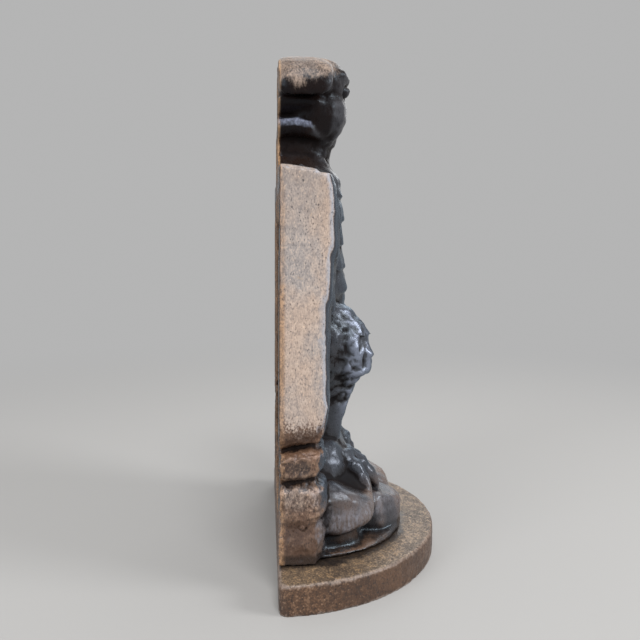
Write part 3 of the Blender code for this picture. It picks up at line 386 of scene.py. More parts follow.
def read_points(piece, field):
    """One row of x, y and z for each point: its place (co) or its normal."""
    rows = np.empty(len(piece.data.vertices) * 3)
    piece.data.vertices.foreach_get(field, rows)
    return rows.reshape(-1, 3)


def move_points(piece, places):
    piece.data.vertices.foreach_set("co", places.ravel())
    piece.data.update()


def step_up(values, start, full):
    """A smooth step from 0 at start to 1 at full."""
    share = np.clip((values - start) / (full - start), 0.0, 1.0)
    return share * share * (3.0 - 2.0 * share)


def within(values, start, full, fading, end):
    """1 inside a zone, with a smooth step at either side."""
    return step_up(values, start, full) * step_up(values, end, fading)


def zones_of(places):
    """Weights for the zones of the figure that are worked in different ways."""
    x, y, z = places.T
    side = np.abs(x)
    depth = BACK_PLANE - y
    front = step_up(depth, *FRONT_DEPTH)
    leg = front * within(z, *THIGH_HEIGHT)
    head = step_up(z, *HEAD_HEIGHT)
    nape = head * step_up(x, *NAPE_SIDE)
    beak = head * step_up(-x, *BEAK_SIDE)
    neck = step_up(side, *NECK_SIDE) * within(z, *NECK_HEIGHT)
    wing_edge = step_up(side, *WING_EDGE_SIDE) * step_up(z, *WING_EDGE_HEIGHT)
    breast = front * step_up(z, *BREAST_HEIGHT)
    seam = step_up(side, *SEAM_SIDE) * within(z, *SEAM_HEIGHT)
    shoulder = (step_up(side, *SHOULDER_SIDE) * step_up(z, *SHOULDER_HEIGHT)
                * step_up(depth, *SHOULDER_DEPTH))
    brow = head * front * step_up(z, *BROW_HEIGHT)
    tufts = step_up(-x, *TUFT_SIDE) * within(z, *TUFT_HEIGHT)
    ledge = step_up(side, *LEDGE_SIDE) * within(z, *LEDGE_HEIGHT)
    low = step_up(side, *LOW_SIDE) * step_up(z, *LOW_HEIGHT)
    return SimpleNamespace(
        leg=leg,
        carving=leg + nape + beak * 0.6 + neck + wing_edge * 0.9 + breast * 0.6,
        seams=seam + shoulder + brow * 0.04 + tufts + nape,
        rock=step_up(z, *ROCK_HEIGHT) * step_up(side, *ROCK_SIDE) * step_up(depth, *ROCK_DEPTH),
        crumpled=leg + ledge * 0.4,
        crackled=low * 0.55 + ledge * 0.45 + leg * 0.4)


def relief_of(piece, passes, reach):
    """How far each point stands out of its surroundings, from -1 in a line to 1 on an edge."""
    places = read_points(piece, "co")
    ends = np.empty(len(piece.data.edges) * 2, dtype=np.int64)
    piece.data.edges.foreach_get("vertices", ends)
    first, second = ends.reshape(-1, 2).T
    count = len(places)
    neighbours = np.bincount(first, minlength=count) + np.bincount(second, minlength=count)
    level = places.copy()
    for _ in range(passes):
        for axis in range(3):
            column = level[:, axis]
            total = (np.bincount(first, column[second], count)
                     + np.bincount(second, column[first], count))
            level[:, axis] = total / np.maximum(neighbours, 1)
    height = ((places - level) * read_points(piece, "normal")).sum(axis=1)
    return np.clip(height / reach, -1.0, 1.0)


def soften_spikes(piece):
    """Smooths only the points that stand far out of their surroundings."""
    spikes = step_up(np.abs(relief_of(piece, *SPIKE_RELIEF)), *SPIKE_LEVEL)
    smooth(piece, "Soft spikes", SPIKE_PASSES, spikes)


def press_eye(piece, casting):
    """Raises a round eye in a groove on the front of the head."""
    places = read_points(piece, "co")
    across, up = EYE_PLACE
    away = np.hypot(places[:, 0] - across, places[:, 2] - up) / casting.eye_radius
    front = step_up(BACK_PLANE - places[:, 1], *EYE_DEPTH)
    dome = np.sqrt(np.clip(1.0 - away ** 2, 0.0, 1.0))
    groove = np.exp(-((away - GROOVE_RADIUS) / GROOVE_WIDTH) ** 2) * GROOVE_SHARE
    places[:, 1] -= (dome - groove) * casting.eye_rise * front
    move_points(piece, places)


def press_feathers(piece, casting):
    """Cuts the lines between the feathers of the wings, and raises a quill along each."""
    places = read_points(piece, "co")
    side = np.abs(places[:, 0])
    wing = (within(side, *FEATHER_SIDE) * step_up(-read_points(piece, "normal")[:, 1], *FEATHER_FACING)
            * step_up(BACK_PLANE - places[:, 1], *FEATHER_DEPTH))
    level = places[:, 2] + (HALF_SPAN - side) * ROW_SLOPE
    for low, high, width, shift in FEATHER_ROWS:
        row = wing * within(level, low, low + ROW_FADE, high - ROW_FADE, high)
        turn = (side - FEATHER_ROOT - (high - level) * FEATHER_SPLAY) / width + shift
        line = np.abs(turn - np.round(turn)) * width
        quill = np.abs(turn - np.floor(turn) - 0.5) * width
        depth = np.exp(-(line / LINE_WIDTH) ** 2)
        rise = np.exp(-(quill / QUILL_WIDTH) ** 2) * QUILL_SHARE
        places[:, 1] += (depth - rise) * casting.feather_line * row
    move_points(piece, places)


def finish_casting(piece, low, high, share, **reliefs):
    """Keeps a casting in its box, thins its faces and stores its relief for the material."""
    move_points(piece, np.clip(read_points(piece, "co"), np.array(low), np.array(high)))
    apply_modifier(piece, "DECIMATE", "Fewer faces", ratio=share)
    piece.data.shade_smooth()
    for name, relief in reliefs.items():
        layer = piece.data.attributes.new(name, "FLOAT", "POINT")
        layer.data.foreach_set("value", relief_of(piece, *relief))


def dress(piece, material, slot, *nodes):
    """Gives a finished piece its material, and lets it stand for its CAD nodes."""
    piece.data.materials.clear()
    piece.data.materials.append(material)
    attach(piece, "root")
    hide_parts(*nodes)


def add_node(tree, kind, inputs=None, **settings):
    """Adds a shader node, with a value or a link for each named input."""
    made = tree.nodes.new(kind)
    for key, value in settings.items():
        setattr(made, key, value)
    connect(tree, made, inputs or {})
    return made


def connect(tree, node, inputs):
    """Links each named input of a node to a socket, or sets its value."""
    for key, value in inputs.items():
        if isinstance(value, bpy.types.NodeSocket):
            tree.links.new(value, node.inputs[key])
        else:
            node.inputs[key].default_value = value


def calculate(tree, operation, first, second=0.0):
    return add_node(tree, "ShaderNodeMath", {0: first, 1: second}, operation=operation).outputs[0]


def times(tree, first, *others):
    """The product of values and sockets."""
    for other in others:
        first = calculate(tree, "MULTIPLY", first, other)
    return first


def largest(tree, first, *others):
    """The largest of values and sockets."""
    for other in others:
        first = calculate(tree, "MAXIMUM", first, other)
    return first


def plus(tree, first, second, share=1.0):
    """A value and a share of a second one."""
    return calculate(tree, "ADD", first, second if share == 1.0 else times(tree, second, share))


def swing(tree, value, amount):
    """A value from 0 to 1 as one around 0 that swings by this amount in all."""
    return times(tree, calculate(tree, "SUBTRACT", value, 0.5), amount)


def spread(tree, value, start, full, low=0.0, high=1.0):
    """A smooth change from low to high as the value goes from start to full."""
    made = add_node(tree, "ShaderNodeMapRange",
                    {"Value": value, "From Min": start, "From Max": full, "To Min": low, "To Max": high},
                    interpolation_type="SMOOTHSTEP")
    return made.outputs["Result"]


def band(tree, value, start, full, fading, end):
    """1 inside a zone, with a smooth step at either side."""
    return times(tree, spread(tree, value, start, full), spread(tree, value, end, fading))


def stretched(tree, place, *factors):
    made = add_node(tree, "ShaderNodeVectorMath", {0: place, 1: factors}, operation="MULTIPLY")
    return made.outputs[0]


def noise_value(tree, place, scale, detail, roughness=0.5, distortion=0.0):
    made = add_node(tree, "ShaderNodeTexNoise",
                    {"Vector": place, "Scale": scale, "Detail": detail, "Roughness": roughness,
                     "Distortion": distortion})
    return made.outputs["Fac"]


def mix_value(tree, share, first, second):
    return add_node(tree, "ShaderNodeMix", {0: share, 2: first, 3: second}, data_type="FLOAT").outputs[0]


def mix_colour(tree, share, first, second):
    """A colour mixed from two colours or sockets."""
    made = add_node(tree, "ShaderNodeMix", data_type="RGBA", clamp_factor=True)
    sockets = [socket for socket in made.inputs if socket.type == "RGBA"]
    for socket, value in zip((made.inputs[0], *sockets), (share, first, second)):
        if isinstance(value, bpy.types.NodeSocket):
            tree.links.new(value, socket)
        else:
            socket.default_value = (*value, 1.0) if socket.type == "RGBA" else value
    return next(socket for socket in made.outputs if socket.type == "RGBA")


def paint(tree, colour, *coats):
    """A colour under coats, each given by its share and its colour."""
    for share, coat in coats:
        colour = mix_colour(tree, share, colour, coat)
    return colour


def tinted(colour, tint):
    """A colour with its three parts multiplied, kept below white."""
    return tuple(min(1.0, value * factor) for value, factor in zip(colour, tint))


def new_group(name, inputs, outputs):
    """An empty shader node group with its inputs, its output node and its sockets by name."""
    group = bpy.data.node_groups.new(name, "ShaderNodeTree")
    for label, default in inputs.items():
        if default is None:
            group.interface.new_socket(label, in_out="INPUT", socket_type="NodeSocketVector")
        else:
            socket = group.interface.new_socket(label, in_out="INPUT", socket_type="NodeSocketFloat")
            socket.default_value = default
    for label in outputs:
        group.interface.new_socket(label, in_out="OUTPUT", socket_type="NodeSocketFloat")
    given = group.nodes.new("NodeGroupInput").outputs
    return group, [given[label] for label in inputs], group.nodes.new("NodeGroupOutput")


def place_group(tree, group, inputs):
    """Adds a node group to a tree, and gives its outputs."""
    made = tree.nodes.new("ShaderNodeGroup")
    made.node_tree = group
    connect(tree, made, inputs)
    return made.outputs


def make_sand_group():
    """Sand grain of a casting: a height, light and dark specks, pits and slow patches, and glints: bright
    specks painted as glints of light.
    """
    group, (place, grains, patch_scale), result = new_group(
        "sand_grain", {"Place": None, "Grains per Metre": 1100.0, "Patches per Metre": 90.0},
        ("Height", "Specks", "Pits", "Glints", "Patches"))
    grain = noise_value(group, place, grains, 5.0, 0.62)
    coarse_scale = times(group, grains, 0.34)
    coarse = noise_value(group, place, coarse_scale, 3.0, 0.55, 0.4)
    cells = add_node(group, "ShaderNodeTexVoronoi", {"Vector": place, "Scale": coarse_scale})
    chosen = spread(group, noise_value(group, place, times(group, grains, 0.12), 1.0), 0.54, 0.66)
    holes = times(group, spread(group, cells.outputs["Distance"], 0.24, 0.06), chosen)
    spots = noise_value(group, place, grains, 2.0, 0.5, 0.3)
    slow = noise_value(group, place, patch_scale, 4.0, 0.6, 0.6)
    connect(group, result, {
        "Height": plus(group, plus(group, times(group, grain, 0.55), coarse, 0.55), holes, -0.45),
        "Specks": spread(group, plus(group, times(group, grain, 0.6), coarse, 0.4), 0.36, 0.64),
        "Pits": largest(group, holes, spread(group, spots, 0.37, 0.28)),
        # painted glints: bright specks that stand in for glints of light
        "Glints": spread(group, spots, 0.64, 0.76),
        "Patches": spread(group, slow, 0.34, 0.66),
    })
    return group


def make_wear_group():
    """Wear and dirt: rubbed edges and dark lines from the stored relief, broken up by the specks."""
    group, (fine, broad, specks, edge, line), result = new_group(
        "edge_wear", {"Fine Relief": 0.0, "Broad Relief": 0.0, "Specks": 0.5, "Edge": 0.5, "Line": 0.5},
        ("Rubbed", "Dirty"))
    ragged = swing(group, specks, 0.25)
    relief = plus(group, times(group, fine, 0.6), broad, 0.4)
    connect(group, result, {
        "Rubbed": spread(group, plus(group, relief, ragged), 0.12, edge),
        "Dirty": spread(group, plus(group, ragged, relief, -1.0), 0.06, line),
    })
    return group


def start_finish(name, sand, grains, patches, stretch=1.0):
    """A new material, and the sockets that its finish follows."""
    material = bpy.data.materials.new(name)
    material.use_nodes = True
    tree = material.node_tree
    coordinates = add_node(tree, "ShaderNodeTexCoord").outputs
    place = coordinates["Object"]
    grain = place_group(tree, sand, {
        "Place": place if stretch == 1.0 else stretched(tree, place, 1.0, 1.0, stretch),
        "Grains per Metre": grains, "Patches per Metre": patches})
    x, y, z = add_node(tree, "ShaderNodeSeparateXYZ", {0: place}).outputs
    facing = add_node(tree, "ShaderNodeSeparateXYZ", {0: coordinates["Normal"]}).outputs
    return SimpleNamespace(
        material=material, tree=tree, shader=tree.nodes["Principled BSDF"], place=place,
        height=grain["Height"], specks=grain["Specks"], pits=grain["Pits"], glints=grain["Glints"],
        patches=grain["Patches"], x=x, y=y, z=z, side=calculate(tree, "ABSOLUTE", x),
        facing_x=facing[0], facing_y=facing[1], facing_z=facing[2],
        fine=add_node(tree, "ShaderNodeAttribute", attribute_name="fine_relief").outputs["Fac"])


def end_finish(skin, colour, roughness, bump, bump_depth):
    """Connects a finish to its shader, with the sand grain as bump."""
    grain = add_node(skin.tree, "ShaderNodeBump",
                     {"Height": skin.height, "Strength": bump, "Distance": bump_depth})
    connect(skin.tree, skin.shader, {"Base Color": colour, "Roughness": roughness,
                                     "Normal": grain.outputs["Normal"]})


def find_wear(skin, wear):
    """Adds the masks of the figure's finish: what is flank, rubbed, dirty, bare, burnished or hollow."""
    tree = skin.tree
    skin.broad = add_node(tree, "ShaderNodeAttribute", attribute_name="broad_relief").outputs["Fac"]
    worn = place_group(tree, wear, {"Fine Relief": skin.fine, "Broad Relief": skin.broad,
                                    "Specks": skin.specks, "Edge": 0.70, "Line": 0.60})
    skin.rubbed = worn["Rubbed"]
    skin.dirty = worn["Dirty"]
    skin.flank = times(tree, spread(tree, calculate(tree, "ABSOLUTE", skin.facing_y), 0.72, 0.35),
                       spread(tree, skin.side, *FLANK_SIDE))
    skin.low = times(tree, skin.flank, spread(tree, skin.z, *LOW_FINISH_HEIGHT))

    # bare iron: the flanks of wings and block, the crown, and the sharpest ridges
    wing = spread(tree, plus(tree, skin.z, swing(tree, skin.specks, 0.003)), *WING_BARE_HEIGHT)
    block = times(tree, band(tree, skin.z, *BLOCK_BARE_HEIGHT), 0.40)
    uneven = plus(tree, swing(tree, skin.patches, 0.006), skin.y, 0.22)
    crown = times(tree, spread(tree, plus(tree, skin.z, uneven), *CROWN_BARE_HEIGHT),
                  spread(tree, skin.y, 0.004, 0.012))
    bare = largest(tree, times(tree, skin.flank, largest(tree, wing, block)), times(tree, crown, 0.50),
                   times(tree, skin.rubbed, 0.12))
    skin.bare = spread(tree, plus(tree, bare, swing(tree, skin.specks, 0.18)), 0.20, 0.80)

    # rubbed wax on what stands out below the neck, thinner where wax pooled round the foot
    soft = plus(tree, swing(tree, skin.patches, 0.45), skin.broad, 0.8)
    pooled = spread(tree, skin.z, *POOL_HEIGHT)
    skin.burnished = times(tree, spread(tree, soft, -0.40, 0.55, 0.12, 1.0),
                           spread(tree, skin.z, *BURNISHED_HEIGHT),
                           spread(tree, pooled, 0.0, 1.0, 1.0, 0.25))
    skin.stone = times(tree, spread(tree, skin.z, *STONE_HEIGHT, 0.0, 0.90),
                       spread(tree, skin.patches, 0.0, 0.60, 0.35, 1.0))
    # painted sheen: where the thighs' raised facets, turned sideways, get a bright bluish painted highlight
    sideways = calculate(tree, "ABSOLUTE", skin.facing_x)
    skin.knee = times(tree, spread(tree, skin.y, 0.010, 0.004),
                      band(tree, skin.z, *KNEE_HEIGHT), spread(tree, skin.side, *KNEE_SIDE),
                      spread(tree, sideways, 0.35, 0.80, 0.08, 1.0))
    skin.sunk = times(tree, skin.dirty, spread(tree, skin.z, 0.0150, 0.0165))

    # the hollow of the back, without the outer sides of the neck and head
    hollow = times(tree, spread(tree, skin.y, *HOLLOW_PLACE), spread(tree, skin.side, *HOLLOW_SIDE))
    beside = times(tree, spread(tree, skin.z, *NECK_OUTER_HEIGHT), spread(tree, skin.side, *NECK_OUTER_SIDE))
    pocket = times(tree, spread(tree, skin.side, *POCKET_SIDE), spread(tree, skin.z, *POCKET_HEIGHT),
                   spread(tree, skin.facing_y, 0.25, 0.55))
    skin.hollow = largest(tree, times(tree, hollow, plus(tree, 1.0, beside, -1.0)), pocket)


def worn_iron(skin, finish):
    """Bare iron of the flanks: warm and cool patches, specks, painted glints and a painted bluish sheen on
    the front edge.
    """
    tree = skin.tree
    worn = finish.worn_colour
    # painted bluish sheen where the flank turns round towards the front
    edge = times(tree, skin.flank, spread(tree, skin.facing_y, -0.05, -0.40), 0.75)
    return paint(
        tree, mix_colour(tree, skin.patches, tinted(worn, COOL_IRON), tinted(worn, WARM_IRON)),
        (spread(tree, skin.specks, 0.45, 1.0, 0.0, 0.50), tinted(worn, PALE_IRON)),
        (spread(tree, skin.specks, 0.50, 0.0, 0.0, 0.52), tinted(worn, DARK_IRON)),
        (spread(tree, skin.z, 0.104, 0.142, 0.0, 0.32), tinted(worn, SHOULDER_IRON)),
        # painted glints
        (times(tree, skin.glints, 0.42), tinted(worn, PAINTED_GLINT_IRON)),
        (edge, tinted(worn, PAINTED_EDGE_SHEEN_IRON)))


def brown_iron(skin, finish):
    """Brown finish low on the flanks, with worn specks on its ridges, painted glints, and painted shade
    where it faces down.
    """
    tree = skin.tree
    worn = finish.worn_colour
    brown = finish.brown_colour
    return paint(
        tree, mix_colour(tree, skin.patches, tinted(brown, DULL_BROWN), tinted(brown, WARM_BROWN)),
        (spread(tree, skin.specks, 0.60, 1.0, 0.0, 0.35), tinted(worn, SPECK_IRON)),
        (times(tree, skin.glints, 0.35), tinted(worn, PAINTED_GLINT_IRON)),
        (times(tree, skin.rubbed, 0.28), tinted(worn, RIDGE_IRON)),
        (spread(tree, skin.specks, 0.40, 0.0, 0.0, 0.40), finish.wax_colour),
        (spread(tree, skin.z, 0.0440, 0.0475, 0.0, 0.55), tinted(brown, WING_FOOT_BROWN)),
        (spread(tree, skin.z, 0.027, 0.020, 0.0, 0.60), tinted(brown, BLOCK_FOOT_BROWN)),
        # painted shade: darker where the surface faces down
        (spread(tree, skin.facing_z, 0.0, -0.65, 0.0, 0.40), tinted(brown, PAINTED_SHADE_UNDERSIDE_BROWN)))


def waxed_iron(skin, finish):
    """Dark wax over the carving, rubbed bluish where it stands out, with painted highlights and sheen on the
    thighs, the front of the head, under the beak and on the low rock, and the dull iron of the hollow.
    """
    tree = skin.tree
    brown = finish.brown_colour
    wax = finish.wax_colour
    black = finish.black_colour
    # painted bluish highlight on the thighs' raised facets
    bright = spread(tree, plus(tree, skin.fine, skin.broad, 0.4), -0.10, 0.40)
    sheen = paint(tree, mix_colour(tree, skin.stone, black, tinted(brown, STONE_BROWN)),
                  (times(tree, skin.knee, bright), tinted(black, PAINTED_THIGH_SHEEN)))
    # painted highlights on the raised parts of the head that face the front
    relief = plus(tree, times(tree, skin.fine, 0.7), skin.broad, 0.3)
    head_highlights = times(tree, spread(tree, skin.facing_y, -0.30, -0.80), spread(tree, relief, -0.30, 0.60),
                     spread(tree, skin.z, *FEATURE_HEIGHT, 0.0, 0.62))
    # streaks for the painted highlights under the beak and on the low rock
    drawn = noise_value(tree, stretched(tree, skin.place, 1.0, 1.0, 0.30), 900.0, 3.0, 0.6, 0.4)
    streaks = spread(tree, drawn, 0.40, 0.66, 0.15, 1.0)
    # painted highlight on the upward-facing roll under the beak
    throat_highlight = times(tree, band(tree, skin.z, *THROAT_HEIGHT),
                   spread(tree, skin.facing_z, 0.05, 0.70, 0.0, 0.85),
                   spread(tree, streaks, 0.0, 1.0, 0.45, 1.0))
    # painted streaky sheen of light on the low rock
    boulder_sheen = times(tree, band(tree, skin.z, *BOULDER_HEIGHT),
                    spread(tree, skin.side, 0.018, 0.026, 0.25, 0.62), streaks)
    scuff = times(tree, spread(tree, skin.facing_z, 0.30, 0.75), spread(tree, skin.patches, 0.35, 0.95),
                  spread(tree, skin.z, *SCUFF_HEIGHT, 0.02, 0.60))
    hollow = paint(
        tree, mix_colour(tree, times(tree, skin.patches, 0.55), tinted(brown, HOLLOW_BROWN),
                         tinted(brown, PATCH_BROWN)),
        (times(tree, skin.specks, 0.35), tinted(brown, SPECK_BROWN)))
    return paint(
        tree, mix_colour(tree, skin.patches, wax, tinted(wax, BROWN_WAX)),
        (spread(tree, skin.z, 0.128, 0.136, 0.0, 0.65), tinted(wax, HEAD_WAX)),
        (skin.burnished, sheen),
        (head_highlights, tinted(black, PAINTED_HEAD_HIGHLIGHT)),
        (throat_highlight, tinted(black, PAINTED_THROAT_HIGHLIGHT)),
        (boulder_sheen, tinted(black, PAINTED_BOULDER_SHEEN)),
        (scuff, tinted(brown, SCUFF_BROWN)),
        (skin.hollow, hollow))


def rusty_edge(skin, finish):
    """Share and colour of the rust on the back face and its edge, gilded where the ridges are rubbed and at
    painted glints.
    """
    tree = skin.tree
    brown = finish.brown_colour
    width = spread(tree, skin.z, 0.128, 0.136, 0.0026, 0.0014)
    depth = calculate(tree, "DIVIDE", calculate(tree, "SUBTRACT", BACK_PLANE, skin.y), width)
    share = times(tree, spread(tree, depth, 1.0, 0.4), spread(tree, skin.patches, 0.15, 0.85, 0.55, 1.0),
                  0.85)
    # gilding of rubbed ridges, and painted glints
    gilt_and_glints = largest(tree, times(tree, skin.rubbed, spread(tree, skin.z, 0.140, 0.150, 0.25, 0.80)),
                   times(tree, skin.glints, 0.45))
    backward = times(tree, spread(tree, skin.facing_y, 0.70, 0.95),
                     spread(tree, skin.specks, 0.25, 0.75, 0.95, 0.65))
    colour = mix_colour(tree, spread(tree, skin.specks, 0.30, 0.90), tinted(finish.rust_colour, DARK_RUST),
                        tinted(finish.rust_colour, PALE_RUST))
    return share, paint(
        tree, colour, (gilt_and_glints, tinted(finish.worn_colour, GILT_AND_GLINT_IRON)),
        (backward, mix_colour(tree, skin.patches, tinted(brown, BACK_BROWN), brown)))


def make_eagle_iron(finish, sand, wear):
    """Iron of the figure: rubbed flanks, brown low down, dark glossy wax on the carving."""
    skin = start_finish("eagle_iron", sand, 2000.0, 60.0, stretch=0.62)
    tree = skin.tree
    find_wear(skin, wear)
    colour = paint(
        tree, waxed_iron(skin, finish),
        (skin.low, brown_iron(skin, finish)),
        (skin.bare, worn_iron(skin, finish)),
        rusty_edge(skin, finish),
        (times(tree, skin.dirty, 0.85), finish.hollow_colour),
        (times(tree, skin.pits, 0.70), finish.hollow_colour))
    dry = largest(tree, times(tree, skin.bare, 0.75), times(tree, skin.low, 0.35), skin.hollow,
                  times(tree, skin.sunk, 0.9), times(tree, skin.knee, 0.22))
    glossy = spread(tree, skin.specks, 0.0, 1.0, 0.24, 0.34)
    end_finish(skin, colour, mix_value(tree, dry, glossy, 0.60), 0.55, 0.00030)
    connect(tree, skin.shader, {
        "Metallic": times(tree, skin.burnished, spread(
            tree, largest(tree, skin.stone, dry), 0.0, 0.7, 0.60, 0.0)),
        "Specular IOR Level": times(tree, spread(tree, skin.z, 0.126, 0.142, 0.62, 0.16),
                                    spread(tree, skin.sunk, 0.0, 0.8, 1.0, 0.15)),
        "Specular Tint": (*finish.sheen_colour, 1.0),
    })


def spilt_wax(skin):
    """Share of the dark wax that ran out round the foot of the rock."""
    tree = skin.tree
    wide = calculate(tree, "POWER", calculate(tree, "DIVIDE", skin.side, ROCK_HALF_WIDTH), ROCK_ROUNDNESS)
    ahead = calculate(tree, "DIVIDE", calculate(tree, "SUBTRACT", BACK_PLANE, skin.y), ROCK_REACH)
    ring = plus(tree, wide, calculate(tree, "POWER", largest(tree, ahead, 0.0), ROCK_ROUNDNESS))
    return spread(tree, plus(tree, ring, skin.patches, 0.10), 1.26, 1.10, 0.0, 0.85)


def make_base_iron(finish, sand):
    """Iron of the base plate: brown, sandy on top, darker and spotted on the rim, with painted glints."""
    skin = start_finish("base_iron", sand, 1600.0, 60.0)
    tree = skin.tree
    worn = finish.worn_colour
    base = finish.base_colour
    rim = finish.rim_colour
    top = spread(tree, skin.facing_z, 0.55, 0.92)
    spill = times(tree, spilt_wax(skin), top)
    spots = times(tree, spread(tree, skin.specks, 0.56, 0.92),
                  spread(tree, skin.patches, 0.10, 0.70, 0.15, 0.80),
                  spread(tree, skin.y, -0.004, 0.026, 0.22, 1.0), 0.65)
    sandy = paint(tree, mix_colour(tree, skin.patches, tinted(base, DARK_BASE), tinted(base, PALE_BASE)),
                  (spread(tree, skin.specks, 0.50, 1.0, 0.0, 0.66), tinted(base, SANDY_BASE)))
    # painted glints, denser towards the back
    glints = times(tree, skin.glints, spread(tree, skin.y, -0.010, 0.026, 0.15, 0.50))
    edge = spread(tree, plus(tree, skin.fine, swing(tree, skin.specks, 0.20)), 0.30, 0.75, 0.0, 0.65)
    colour = paint(
        tree, mix_colour(tree, skin.patches, tinted(rim, DARK_RIM), tinted(rim, PALE_RIM)),
        (spots, tinted(worn, SPOT_IRON)),
        (top, sandy),
        (glints, tinted(worn, PAINTED_GLINT_BASE_IRON)),
        (spread(tree, skin.specks, 0.42, 0.0, 0.0, 0.75), tinted(rim, SHADED_RIM)),
        (edge, tinted(worn, BASE_EDGE_IRON)),
        (spill, finish.wax_colour),
        (times(tree, skin.pits, 0.75), finish.hollow_colour))
    rough = spread(tree, skin.specks, 0.0, 1.0, 0.55, 0.36)
    end_finish(skin, colour, mix_value(tree, spill, rough, 0.28), 0.6, 0.00035)
    skin.shader.inputs["Specular IOR Level"].default_value = 0.6


def make_screw_steel(finish, sand):
    """Darkened steel of the screws."""
    skin = start_finish("screw_steel", sand, 1800.0, 260.0)
    tree = skin.tree
    steel = finish.steel_colour
    colour = paint(tree, mix_colour(tree, skin.patches, tuple(value * 0.45 for value in steel), steel),
                   (spread(tree, skin.specks, 0.62, 0.95, 0.0, 0.7), finish.rust_colour))
    end_finish(skin, colour, spread(tree, skin.specks, 0.0, 1.0, 0.30, 0.55), 0.25, 0.0001)
    skin.shader.inputs["Metallic"].default_value = 0.85


def make_floor(settings):
    """The plain floor: it takes the object's shadow and fades into the room further out."""
    material = bpy.data.materials.new("pale_floor")
    material.use_nodes = True
    tree = material.node_tree
    shader = tree.nodes["Principled BSDF"]
    connect(tree, shader, {"Base Color": (*settings.floor_colour, 1.0), "Roughness": 0.9,
                           "Specular IOR Level": 0.2})
    place = add_node(tree, "ShaderNodeTexCoord").outputs["Object"]
    distance = add_node(tree, "ShaderNodeVectorMath", {0: place}, operation="LENGTH").outputs["Value"]
    room = add_node(tree, "ShaderNodeEmission", {"Color": (*settings.room_colour, 1.0)})
    mixed = add_node(tree, "ShaderNodeMixShader", {0: spread(tree, distance, 0.16, 0.55),
                                                   1: shader.outputs[0], 2: room.outputs[0]})
    tree.links.new(mixed.outputs[0], tree.nodes["Material Output"].inputs["Surface"])
    return material


class DOORSTOP_OT_finishes(bpy.types.Operator):
    """Mixes the three finishes from the shared grain and wear effects"""
    bl_idname = "doorstop.finishes"
    bl_label = "Finishes"

    def execute(self, context):
        finish = context.scene.doorstop_finish
        sand = make_sand_group()
        make_eagle_iron(finish, sand, make_wear_group())
        make_base_iron(finish, sand)
        make_screw_steel(finish, sand)
        return {"FINISHED"}


class DOORSTOP_OT_figure(bpy.types.Operator):
    """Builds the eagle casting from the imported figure, with the skin of a sand casting"""
    bl_idname = "doorstop.figure"
    bl_label = "Eagle Casting"

    def execute(self, context):
        casting = context.scene.doorstop_casting
        piece = copy_of_node("figure_casting", "eagle_casting")
        apply_modifier(piece, "REMESH", "Skin", mode="VOXEL", voxel_size=casting.skin_size)
        smooth(piece, "Soft edges", casting.edge_softness)
        zones = zones_of(read_points(piece, "co"))
        smooth(piece, "Soft carving", casting.carving_softness, zones.carving)
        smooth(piece, "Soft seams", casting.seam_softness, zones.seams)
        press_texture(piece, "plates", "VORONOI", casting.plate_size, casting.plate_depth, zones.leg,
                      weight_1=-1.0, weight_2=1.0)
        press_texture(piece, "hewn", "VORONOI", casting.hewn_size, casting.hewn_depth, zones.rock)
        press_texture(piece, "crumple", "CLOUDS", casting.crumple_size, casting.crumple_depth,
                      zones.crumpled, noise_depth=1, noise_type="HARD_NOISE")
        press_texture(piece, "crackle", "CLOUDS", casting.crackle_size, casting.crackle_depth,
                      zones.crackled, noise_depth=1, noise_type="HARD_NOISE")
        smooth(piece, "Soft thighs", 1, zones.leg)
        press_texture(piece, "swell", "CLOUDS", casting.swell_size, casting.swell_depth)
        soften_spikes(piece)
        press_eye(piece, casting)
        press_feathers(piece, casting)
        press_texture(piece, "sand", "CLOUDS", casting.sand_size, casting.sand_depth, noise_depth=1)
        finish_casting(piece, FIGURE_LOW, FIGURE_HIGH, casting.figure_faces, fine_relief=FINE_RELIEF,
                       broad_relief=BROAD_RELIEF)
        dress(piece, bpy.data.materials["eagle_iron"], "cast_iron", "figure_casting")
        return {"FINISHED"}


class DOORSTOP_OT_base(bpy.types.Operator):
    """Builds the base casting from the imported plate, with soft uneven edges"""
    bl_idname = "doorstop.base"
    bl_label = "Base Casting"

    def execute(self, context):
        casting = context.scene.doorstop_casting
        piece = copy_of_node("base_plate", "base_casting")
        apply_modifier(piece, "REMESH", "Skin", mode="VOXEL", voxel_size=casting.skin_size)
        smooth(piece, "Soft edges", 1)
        press_texture(piece, "plate_swell", "CLOUDS", casting.swell_size, casting.swell_depth * 0.6)
        press_texture(piece, "plate_sand", "CLOUDS", casting.sand_size, casting.sand_depth, noise_depth=1)
        finish_casting(piece, BASE_LOW, BASE_HIGH, casting.base_faces, fine_relief=FINE_RELIEF)
        dress(piece, bpy.data.materials["base_iron"], "cast_iron", "base_plate")
        return {"FINISHED"}


class DOORSTOP_OT_screws(bpy.types.Operator):
    """Gives the two packed screws their darkened steel"""
    bl_idname = "doorstop.screws"
    bl_label = "Screws"

    def execute(self, context):
        for side in ("left", "right"):
            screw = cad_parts["base_screw_" + side]
            for slot in screw.material_slots:
                slot.material = bpy.data.materials["screw_steel"]
        return {"FINISHED"}


